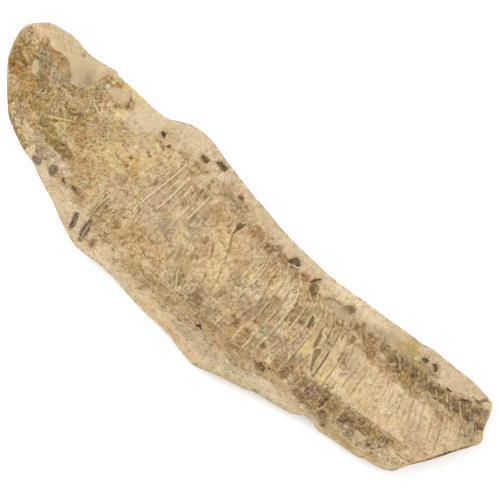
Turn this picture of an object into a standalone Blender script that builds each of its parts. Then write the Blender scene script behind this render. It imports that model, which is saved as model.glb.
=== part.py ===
"""Half of a split limestone nodule with a long-bodied fossil fish lying in its split face.

The stone and the petrified fish grew together, so they are one solid. The snout end is at -X, the
broken tail end at +X, the back of the fish at +Y and the split face up. The origin is under the
middle of the stone's own box, on the surface that the stone rests on.
"""

import bmesh
import bpy
import numpy as np

MM = 0.001

# Driving dimensions
THICKNESS = 28 * MM  # from the foot to the highest scale
FACE_LEVEL = 23.5 * MM  # the split face at its edge, above the foot
BODY_SWELL = 3.2 * MM  # how far the middle of the fish stands above that
MARGIN_STEP = 0.7 * MM  # the low ledge where the fish ends and bare stone starts
STEP_WIDTH = 4 * MM
RIM_ROLL = 1.6 * MM  # how far the face falls where it rolls over into the side
RIM_REACH = 9 * MM

SCALE_PITCH = 8 * MM  # from one deep flank scale to the next
SCALE_RELIEF = 0.7 * MM
SCALE_LEAN = -0.16  # sideways shift of a scale column for each unit of height
SCALES_START, SCALES_END = -92 * MM, 224 * MM
SCALES_TOP, SCALES_BOTTOM = 40 * MM, -14 * MM
SCUTE_RELIEF = 0.6 * MM  # the squarish scutes along the lower flank
SCUTE_HEIGHT = 15 * MM
CREASE_DEPTH = 1.0 * MM
CREASE_WIDTH = 1.8 * MM

# Mesh counts
COLUMNS, ROWS = 150, 20  # of the grid over the split face
CURVE_STEPS = 16  # between two outline points

# The stone's outline, in millimetres from the middle of its box, in four sides
SNOUT_END = [
    (-228, 54.5), (-233, 50), (-238, 45), (-240, 37), (-237.5, 28), (-233, 17),
    (-229, 10), (-222, 2), (-212, -9), (-201, -20), (-196, -23),
]
BACK_EDGE = [
    (-228, 54.5), (-222.5, 56.5), (-205, 58.9), (-186, 56.6), (-170, 58.9), (-163, 60.8),
    (-159, 59.2), (-143, 58.9), (-128, 58.2), (-110, 58.5), (-101, 63), (-92, 68.2),
    (-82, 70.3), (-74, 70.3), (-63, 67.9), (-50, 64.7), (-31, 61.1), (-11, 58.2),
    (8, 55), (27, 52.7), (50, 52.1), (85, 53.4), (124, 56.6), (152, 58.9),
    (165, 61.5), (182, 62.7), (202, 64), (215, 64), (227, 62.4),
]
TAIL_BREAK = [
    (227, 62.4), (229, 59.8), (232, 49), (235.5, 41), (240, 33), (236, 26), (230, 18),
    (221, 0), (210, -16), (204, -26), (197, -32),
]
BELLY_EDGE = [
    (-196, -23), (-187, -28), (-175, -32), (-158, -36.5), (-147, -41), (-134, -46.6),
    (-121, -52.7), (-108, -57.6), (-98, -60.8), (-89, -60.8), (-69, -59.5), (-43, -61.8),
    (-18, -64.4), (5, -64.7), (15, -67.6), (30, -69), (34, -70.2), (50, -63.9),
    (62, -60.5), (76, -57), (83, -53.5), (100, -51), (113, -48), (120, -44.8),
    (125, -41.2), (133, -41.5), (136, -43.5), (141, -43.7), (150, -41.5), (172, -39),
    (178, -37.6), (181, -35.6), (188, -34.5), (197, -32),
]

# The side below the face, ring by ring: how far in from the outline, and the share of the way down
FACE_INSET = 2.0 * MM
ROUNDED_SIDE = [(0.6, 0.04), (0.0, 0.14), (2.2, 0.46), (10.0, 0.8), (23.0, 1.0)]
BROKEN_SIDE = [(1.5, 0.04), (1.2, 0.14), (0.0, 0.5), (1.0, 0.88), (5.0, 1.0)]
BREAK_SPREAD = 0.012  # share of the length over which the broken end's side takes over
SIDE_WAVES = [(2.3, 0.4, 0.10), (5.1, 1.9, 0.07), (9.4, 0.7, 0.05)]  # turns, start, share of the inset

# Where the fish meets bare stone, and the upper edge of the scutes, in millimetres
BACK_MARGIN = [
    (-240, 46), (-218, 43), (-200, 43), (-190, 39), (-184, 30), (-172, 29), (-166, 42),
    (-158, 50), (-140, 50), (-128, 42), (-110, 41), (-95, 46), (-75, 50), (-20, 50),
    (10, 45), (30, 42), (50, 40), (70, 38), (100, 42), (150, 44), (180, 44), (205, 50),
    (220, 56), (240, 58),
]
BELLY_MARGIN = [
    (-240, -28), (-190, -20), (-170, -24), (-150, -32), (-130, -34), (-110, -40),
    (-96, -54), (-86, -47), (-30, -53), (30, -50), (55, -48), (80, -42), (100, -37),
    (125, -34), (150, -31), (180, -26), (240, -18),
]
SCUTE_TOP = [(66, -20), (105, -18), (125, -15), (160, -13), (180, -10.5), (215, -7)]

# Long creases across the flank, in millimetres
CREASES = [
    [(-13, 36), (-11, 26), (-6, 15), (-2, 5), (1, -5), (4, -10)],
    [(-16, 17), (-12, 3)],
    [(88.5, 18), (94, 1)],
    [(96, 4), (104, -14)],
    [(105.5, 8), (108.5, -15)],
    [(-101, -22), (-98, -40), (-96, -55)],
    [(-113, -41), (-109, -53)],
]

# Bones and hollows of the head: middle x and y, half length, half width, height, all in millimetres
HEAD_FORMS = [
    (-203, 26, 18, 15, 1.6),  # skull roof
    (-219, 15, 13, 11, -1.2),  # worn hollow behind the snout
    (-180, 40, 12, 11, -0.8),  # bare window above the skull
    (-170, 14, 9, 8, -1.0),  # eye socket
    (-176, -4, 5, 5, 1.1),  # rounded bone below it
    (-150, 36, 14, 13, 1.0),  # gill cover, upper lobe
    (-140, 6, 22, 17, 0.9),  # gill cover
    (-152, -17, 13, 8, -0.7),  # throat
    (-190, -12, 12, 7, 0.8),  # lower jaw
]

STONE_COLOUR = (0.55, 0.41, 0.25, 1.0)
STONE_ROUGHNESS = 0.85


def edge(points):
    """A smooth curve through the points, as a function of the share of its length."""
    points = np.array(points, float) * MM
    ends = np.vstack([2 * points[0] - points[1], points, 2 * points[-1] - points[-2]])
    t = np.linspace(0, 1, CURVE_STEPS, endpoint=False)[:, None]
    runs = []
    for a, b, c, d in zip(ends, ends[1:], ends[2:], ends[3:]):
        bend = a - 2.5 * b + 2 * c - 0.5 * d
        twist = 1.5 * (b - c) + 0.5 * (d - a)
        runs.append(b + 0.5 * t * (c - a) + t**2 * bend + t**3 * twist)
    curve = np.vstack([*runs, points[-1:]])
    along = np.cumsum(np.linalg.norm(np.diff(curve, axis=0, prepend=curve[:1]), axis=1))
    share = along / along[-1]

    def at(s):
        return np.stack([np.interp(s, share, curve[:, 0]), np.interp(s, share, curve[:, 1])], -1)

    return at


def level_line(points):
    """The height on the face of a line through the points, as a function of x."""
    x, y = np.array(points, float).T * MM
    return lambda at_x: np.interp(at_x, x, y)


snout, back = edge(SNOUT_END), edge(BACK_EDGE)
tail, belly = edge(TAIL_BREAK), edge(BELLY_EDGE)
back_margin, belly_margin = level_line(BACK_MARGIN), level_line(BELLY_MARGIN)
scute_top = level_line(SCUTE_TOP)


def plan(u, v):
    """The place in plan for shares u (snout to tail) and v (belly to back), filling the four edges."""
    across, up = u[:, None], v[:, None]
    ruled = (1 - up) * belly(u) + up * back(u) + (1 - across) * snout(1 - v) + across * tail(1 - v)
    corners = (1 - across) * ((1 - up) * belly(0.0) + up * back(0.0))
    corners += across * ((1 - up) * belly(1.0) + up * back(1.0))
    return ruled - corners


def ease(value, start, width):
    """0 before start, 1 from start + width on, and smooth between."""
    t = np.clip((value - start) / width, 0, 1)
    return t * t * (3 - 2 * t)


def line_distance(x, y, points):
    """How far each place is from a broken line."""
    nearest = np.full(x.shape, np.inf)
    points = np.array(points, float) * MM
    for (ax, ay), (bx, by) in zip(points, points[1:]):
        dx, dy = bx - ax, by - ay
        t = np.clip(((x - ax) * dx + (y - ay) * dy) / (dx * dx + dy * dy), 0, 1)
        nearest = np.minimum(nearest, np.hypot(x - ax - t * dx, y - ay - t * dy))
    return nearest


def body_form(x, y):
    """The gentle swell of the fish and the ledge along its margin."""
    middle = (back_margin(x) + belly_margin(x)) / 2
    half = (back_margin(x) - belly_margin(x)) / 2
    swell = np.clip(1 - ((y - middle) / half) ** 2, 0, 1) * BODY_SWELL
    inside = ease(half - np.abs(y - middle), -STEP_WIDTH / 2, STEP_WIDTH)
    return swell + inside * MARGIN_STEP


def scale_columns(x, y):
    """Deep flank scales, each a low ridge from back to belly."""
    wave = np.sin(2 * np.pi * (x - SCALE_LEAN * y) / SCALE_PITCH)
    share = ease(x, SCALES_START, 3 * SCALE_PITCH) * ease(-x, -SCALES_END, 3 * SCALE_PITCH)
    share *= ease(y, SCALES_BOTTOM, SCALE_PITCH) * ease(-y, -SCALES_TOP, SCALE_PITCH)
    return 0.5 * SCALE_RELIEF * wave * share


def scutes(x, y):
    """The raised row of squarish scutes between the flank and the belly."""
    depth = scute_top(x) - y
    share = ease(depth, 0, 3 * MM) * ease(-depth, -SCUTE_HEIGHT, 3 * MM)
    gaps = 0.6 + 0.4 * np.sin(2 * np.pi * x / (1.1 * SCALE_PITCH))
    return SCUTE_RELIEF * share * gaps * ease(x, 60 * MM, 12 * MM)


def head_forms(x, y):
    """Bones and worn hollows of the head."""
    total = np.zeros_like(x)
    for form in HEAD_FORMS:
        cx, cy, long, wide, height = (value * MM for value in form)
        total += height * np.exp(-(((x - cx) / long) ** 2) - ((y - cy) / wide) ** 2)
    return total


def face_height(x, y, inside):
    """The height of the split face, inside being how far a place is from the outline."""
    height = FACE_LEVEL + body_form(x, y) + scale_columns(x, y) + scutes(x, y) + head_forms(x, y)
    for crease in CREASES:
        height -= CREASE_DEPTH * np.exp(-((line_distance(x, y, crease) / CREASE_WIDTH) ** 2))
    return height - RIM_ROLL * np.clip(1 - inside / RIM_REACH, 0, 1) ** 2


def side_values(ring, u, v):
    """Inset and share of the way down for one ring of the side, rounded or broken."""
    broken = ease(u, 1 - BREAK_SPREAD, BREAK_SPREAD)
    inset = (1 - broken) * ROUNDED_SIDE[ring][0] + broken * BROKEN_SIDE[ring][0]
    down = (1 - broken) * ROUNDED_SIDE[ring][1] + broken * BROKEN_SIDE[ring][1]
    waves = sum(share * np.sin(turns * (6 * u + v) + start) for turns, start, share in SIDE_WAVES)
    return inset * (1 + waves) * MM, down


def shrunk(u, v, inset, size):
    """The shares that lie inset in from the outline of a stone of the given length and width."""
    in_u, in_v = inset / size[0], inset / size[1]
    return in_u + (1 - 2 * in_u) * u, in_v + (1 - 2 * in_v) * v


def cage():
    """A flat grid with one ring for each step of the side below it, closed by the foot."""
    mesh = bmesh.new()
    bmesh.ops.create_grid(mesh, x_segments=COLUMNS, y_segments=ROWS, size=0.5)
    rim = [e for e in mesh.edges if e.is_boundary]
    for _ in ROUNDED_SIDE:
        grown = bmesh.ops.extrude_edge_only(mesh, edges=rim)["geom"]
        ring = [v for v in grown if isinstance(v, bmesh.types.BMVert)]
        bmesh.ops.translate(mesh, verts=ring, vec=(0, 0, -1))
        rim = [e for e in grown if isinstance(e, bmesh.types.BMEdge)]
    bmesh.ops.contextual_create(mesh, geom=rim)
    return mesh


def carry_onto_stone(mesh):
    """Moves the cage, whose x and y are shares and whose z counts rings, onto the stone's form."""
    places = np.array([v.co[:] for v in mesh.verts])
    u, v = places[:, 0] + 0.5, places[:, 1] + 0.5
    ring = np.rint(-places[:, 2]).astype(int)
    length = float(np.ptp([p[0] for p in SNOUT_END + TAIL_BREAK])) * MM
    width = float(back(0.5)[1] - belly(0.5)[1])
    inset, down = np.full(u.shape, FACE_INSET), np.zeros(u.shape)
    for number in range(1, len(ROUNDED_SIDE) + 1):
        here = ring == number
        inset[here], down[here] = side_values(number - 1, u[here], v[here])
    rim_xy = plan(*shrunk(u, v, FACE_INSET, (length, width)))
    xy = plan(*shrunk(u, v, inset, (length, width)))
    to_side = FACE_INSET + np.minimum(np.minimum(u, 1 - u) * length, np.minimum(v, 1 - v) * width)
    height = face_height(rim_xy[:, 0], rim_xy[:, 1], to_side) * (1 - down)
    height[ring == 0] += THICKNESS - height.max()
    xy -= (xy.min(0) + xy.max(0)) / 2
    for vertex, (x, y), z in zip(mesh.verts, xy, height):
        vertex.co = (x, y, z)


def stone_material():
    material = bpy.data.materials.new("limestone")
    material.use_nodes = True
    shader = material.node_tree.nodes["Principled BSDF"]
    shader.inputs["Base Color"].default_value = STONE_COLOUR
    shader.inputs["Roughness"].default_value = STONE_ROUGHNESS
    shader.inputs["Metallic"].default_value = 0.0
    return material


def build_slab(collection):
    mesh = cage()
    carry_onto_stone(mesh)
    bmesh.ops.recalc_face_normals(mesh, faces=mesh.faces)
    data = bpy.data.meshes.new("fossil_fish_slab")
    mesh.to_mesh(data)
    mesh.free()
    data.shade_smooth()
    data.materials.append(stone_material())
    slab = bpy.data.objects.new("fossil_fish_slab", data)
    collection.objects.link(slab)


for old in list(bpy.data.objects):
    bpy.data.objects.remove(old)
parts = bpy.data.collections.new("fossil_fish")
bpy.context.scene.collection.children.link(parts)
build_slab(parts)
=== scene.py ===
"""Looks of the fossil fish slab: the split face in fine relief, its stains, bones and scales, and the rind.

Lengths are in millimetres until the mesh is made. X runs from snout to tail, Y from belly to back
and Z up out of the split face, as in the frame.
"""

import math

import bmesh
import bpy
import numpy as np
from mathutils import Matrix, Vector


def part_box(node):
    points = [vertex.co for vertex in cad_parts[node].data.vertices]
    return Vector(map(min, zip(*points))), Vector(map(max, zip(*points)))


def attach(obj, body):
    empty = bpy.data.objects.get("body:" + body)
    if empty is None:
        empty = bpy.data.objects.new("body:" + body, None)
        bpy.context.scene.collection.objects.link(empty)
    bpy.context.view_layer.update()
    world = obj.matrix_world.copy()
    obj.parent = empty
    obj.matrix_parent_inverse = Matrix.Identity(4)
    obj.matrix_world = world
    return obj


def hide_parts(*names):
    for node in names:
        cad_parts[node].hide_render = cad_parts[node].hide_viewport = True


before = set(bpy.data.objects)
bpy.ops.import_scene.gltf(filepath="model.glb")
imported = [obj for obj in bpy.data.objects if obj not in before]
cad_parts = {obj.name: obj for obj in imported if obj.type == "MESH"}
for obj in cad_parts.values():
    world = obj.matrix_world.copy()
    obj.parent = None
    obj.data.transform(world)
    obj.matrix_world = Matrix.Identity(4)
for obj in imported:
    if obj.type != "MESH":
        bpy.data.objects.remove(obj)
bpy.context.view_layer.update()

MM = 0.001
NODE = "fossil_fish_slab"
LOW, HIGH = (np.array(corner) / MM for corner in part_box(NODE))

# Sizes of the stone
FACE_LEVEL = 23.5  # the split face at its edge, above the foot
BODY_SWELL = 3.2
MARGIN_STEP = 0.7
STEP_WIDTH = 4
RIM_ROLL = 1.6
RIM_REACH = 9
FACE_INSET = 2.0  # from the outline to the first ring of the side
UNDERSIDE_INSET = 3.4  # from the outline to the first ring of the underside
PEAK_PERCENT = 99.8  # the share of the face that lies below the top of the stone

# Mesh counts
COLUMNS, ROWS = 618, 126  # over the split face
BACK_COLUMNS, BACK_ROWS = 206, 42  # over the underside
CURVE_STEPS = 16

# The stone's outline in four sides
SNOUT_END = [
    (-228, 54.6), (-234.4, 48.6), (-238.6, 43), (-240, 37), (-239, 29), (-234.8, 17.6),
    (-231.4, 11), (-224.4, 2), (-213.4, -10), (-204, -19.6), (-197.5, -24),
]
BACK_EDGE = [
    (-228, 54.6), (-221, 57), (-205, 59.3), (-188, 57), (-172, 59.2), (-164, 61),
    (-159, 59.6), (-143, 59.4), (-124, 58.8), (-111, 59.6), (-101, 64.3), (-92, 68.6),
    (-82, 70.3), (-74, 70.3), (-63, 68), (-50, 65.2), (-36, 62.6), (-20, 59.6),
    (-4, 57.8), (8, 55.5), (27, 53.4), (50, 52.6), (68, 52.3), (85, 53.5),
    (100, 55.2), (124, 57.4), (140, 59.2), (156, 60.6), (165, 62.9), (182, 63.6),
    (202, 64.8), (214, 64), (227, 62.2),
]
TAIL_BREAK = [
    (227, 62.2), (229.4, 59), (232, 52), (234, 45), (236.4, 40), (240, 33), (236, 25.6),
    (231.4, 18), (221.4, 0), (210.4, -17), (204.6, -28), (197, -33.4),
]
BELLY_EDGE = [
    (-197.5, -24), (-188, -28.4), (-176, -33), (-163, -35.8), (-155, -39.8), (-147, -42.8),
    (-134, -47.6), (-121, -53.6), (-108, -58.6), (-99, -61.4), (-89, -61.6), (-69, -60.1),
    (-43, -62.6), (-28, -64.4), (-18, -64.6), (5, -65.4), (13, -67.9), (27, -69.8),
    (34, -70.2), (45, -66.4), (52, -64), (62, -61.4), (76, -57.6), (84, -54.2),
    (100, -51.6), (113, -48.6), (119, -45.4), (124, -42.2), (132, -41.8), (136, -43.6),
    (141, -44), (150, -42.3), (160, -41), (172, -39.6), (177, -38.4), (181, -36.4),
    (188, -35.4), (197, -33.4),
]

# The side below the face, ring by ring: how far in from the outline, and the share of the way down.
# The last ring is the edge of the underside.
ROUNDED_SIDE = [(0.2, 0.04), (-0.3, 0.13), (0.4, 0.28), (2.2, 0.46)]
BROKEN_SIDE = [(0.5, 0.05), (-0.1, 0.14), (-0.2, 0.3), (-0.2, 0.5)]
BREAK_SPREAD = 0.012
RINGS = len(ROUNDED_SIDE)

# Where the fish meets bare stone, and the upper and lower edges of the scutes
BACK_MARGIN = [
    (-240, 46), (-218, 43), (-200, 43), (-190, 39), (-184, 30), (-175, 30), (-171, 42),
    (-166, 53), (-158, 57), (-143, 57), (-134, 49), (-126, 42), (-110, 41), (-95, 46), (-75, 50), (-20, 50),
    (10, 45), (30, 42), (50, 40), (70, 38), (100, 42), (150, 44), (180, 44), (205, 50),
    (220, 56), (240, 58),
]
BELLY_MARGIN = [
    (-240, -28), (-190, -20), (-170, -24), (-150, -32), (-130, -34), (-110, -40),
    (-96, -54), (-86, -47), (-30, -53), (30, -50), (55, -48), (80, -42), (100, -37),
    (125, -34), (150, -31), (180, -26), (240, -18),
]
SCUTE_TOP = [(-90, -18), (20, -19), (66, -19), (105, -18), (125, -15), (160, -13), (180, -10.5), (215, -7)]
SCUTE_FOOT = [
    (-90, -36), (20, -37), (66, -36), (100, -32), (130, -30), (150, -28), (165, -24), (185, -20), (215, -15),
]

# Deep flank scales: where the edge of each column crosses these heights, from head to tail
SCALE_HEIGHTS = (45, 35, 25, 15, 5, -5, -15, -35)
SCALE_EDGES = [
    (-98, -98, -98, -98, -99, -100, -101, -101), (-90, -88, -88, -89, -90, -91, -92, -92),
    (-75, -75, -76.6, -78.4, -80.3, -81.7, -82, -80), (-66, -65.6, -66, -67, -68, -69, -69, -68),
    (-60, -60, -59.5, -60, -60, -60, -59, -58), (-52, -51.5, -50.6, -51, -51.5, -52, -51, -47),
    (-44, -44, -44.3, -45, -45, -44, -40, -35), (-38, -37, -36.5, -36, -36, -33, -29, -24),
    (-34, -31, -29, -27, -25.5, -22, -18, -14), (-25, -22, -19, -15.5, -12.8, -10, -7, -5),
    (-16, -13.5, -11.3, -6, -3, 0.6, 3, 4), (-1, 2, 4, 6, 7, 8.5, 9.5, 10),
    (9, 13, 15.2, 15.8, 15.8, 15.6, 15.6, 16), (18, 22, 24.4, 24.8, 24.5, 24.3, 24.3, 24.7),
    (26, 30.5, 32.5, 33.4, 36.4, 36.6, 34, 33.3), (34, 38.5, 41.3, 42.7, 44.2, 44.4, 42.8, 43.6),
    (37, 42.5, 48.4, 51.6, 53, 53, 52.4, 52.3), (44, 50.5, 57.5, 61, 61.4, 61.5, 61, 61),
    (53, 59, 65, 68.4, 70, 70.4, 69.5, 69), (64, 70, 74.6, 76.6, 78, 78.2, 77, 76.6),
    (70, 76, 81.2, 84, 85, 85.3, 85, 85), (75, 80, 85.6, 88.6, 92, 93, 93.6, 93.4),
    (82, 88, 94, 96.5, 98.5, 101, 103, 101.8), (89, 96, 101.2, 103.5, 105.6, 107, 108, 110),
    (96, 103.5, 109, 112.7, 115.2, 117, 118, 118.4), (103, 110.5, 116.5, 119.7, 122.2, 124.4, 126, 127.4),
    (110, 118.5, 126.5, 129.3, 131.2, 132.6, 133.5, 136),
    (117, 126, 134.5, 137.6, 138.6, 139.8, 141, 143.5),
    (124, 133, 142, 145.2, 147, 148.2, 149, 152), (131, 141, 150, 152.4, 154.8, 156.4, 158, 161),
    (138, 148, 156.8, 159.6, 163, 165, 166.6, 169), (145, 156, 165.2, 168.4, 172.6, 175, 177.4, 179),
    (152, 164.5, 173, 177.3, 181.4, 184, 186.6, 189), (161, 173, 182.2, 186.8, 191.2, 194, 196.6, 199),
    (170, 182, 190, 194.7, 199, 202.4, 205.4, 210), (180, 191, 198.6, 202.8, 207, 210.6, 213.6, 218),
    (190, 200, 206, 210.4, 215.4, 219, 222, 226), (199, 208, 214.5, 219, 224, 227, 230, 234),
    (207, 217, 224, 229, 233, 236, 239, 243), (216, 226, 231, 236, 240, 244, 247, 251),
    (225, 234, 239, 243, 248, 252, 255, 259), (236, 244, 250, 254, 258, 262, 266, 270),
]
SCALE_WIDTH = 8.6  # a usual column's

# Tones of single scales: column, from height, to height, colour, strength
SCALE_TONES = [
    (12, -8, 28, "cream", 0.3), (13, 10, 27, "cream", 0.35), (13, 3, 9, "greengrey", 0.5),
    (13, -18, 2, "mauve", 0.5), (14, 9, 22, "yellow", 0.55), (14, 23, 30, "cream", 0.4),
    (14, -18, 8, "mauve", 0.75), (14, -17, 5, "brown", 0.35), (15, -15, 14, "brown", 0.6),
    (15, 15, 28, "pale", 0.4), (16, 6, 27, "pale", 0.45), (16, -8, 1, "mauve", 0.5),
    (16, -17, -9, "greengrey", 0.7), (17, 2, 20, "brown", 0.6), (17, 21, 29, "rust", 0.5),
    (17, -8, -1, "pale", 0.45), (17, -17, -9, "mauve", 0.7), (17, -17, -9, "brown", 0.35),
    (18, 8, 24, "mauve", 0.6), (18, 8, 24, "brown", 0.35), (18, -7, 0, "yellow", 0.6),
    (18, -16, -8, "mauve", 0.5), (19, -10, 8, "mauve", 0.6), (20, 2, 24, "yellow", 0.4),
    (20, -9, 3, "yellow", 0.9), (20, -16, -9.5, "slate", 0.5), (21, 6, 25, "cream", 0.35),
    (21, -15, -4, "cream", 0.35), (22, 4, 23, "greengrey", 0.55), (22, -15, 3, "olive", 0.3),
    (23, 4, 25, "pale", 0.3), (23, -15, 3, "yellow", 0.5), (24, 4, 16, "mauve", 0.7),
    (24, 4, 16, "brown", 0.3), (25, 12, 23, "greengrey", 0.45), (25, 2, 11, "mauve", 0.5),
    (30, 4, 20, "greengrey", 0.2), (31, 4, 20, "greengrey", 0.3), (32, 8, 20, "greengrey", 0.3),
    (33, 8, 20, "greengrey", 0.25), (27, -10, 4, "pink", 0.4), (29, -10, 4, "pink", 0.5),
    (30, -10, -1, "pink", 0.4), (2, -6, 30, "mauve", 0.3), (3, -10, 22, "mauve", 0.35),
    (5, -12, 26, "mauve", 0.35), (6, -2, 22, "greengrey", 0.35), (4, -12, 2, "greengrey", 0.4),
    (9, -10, 26, "cream", 0.45), (10, -12, 14, "cream", 0.5), (8, 0, 12, "olive", 0.35),
]

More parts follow.
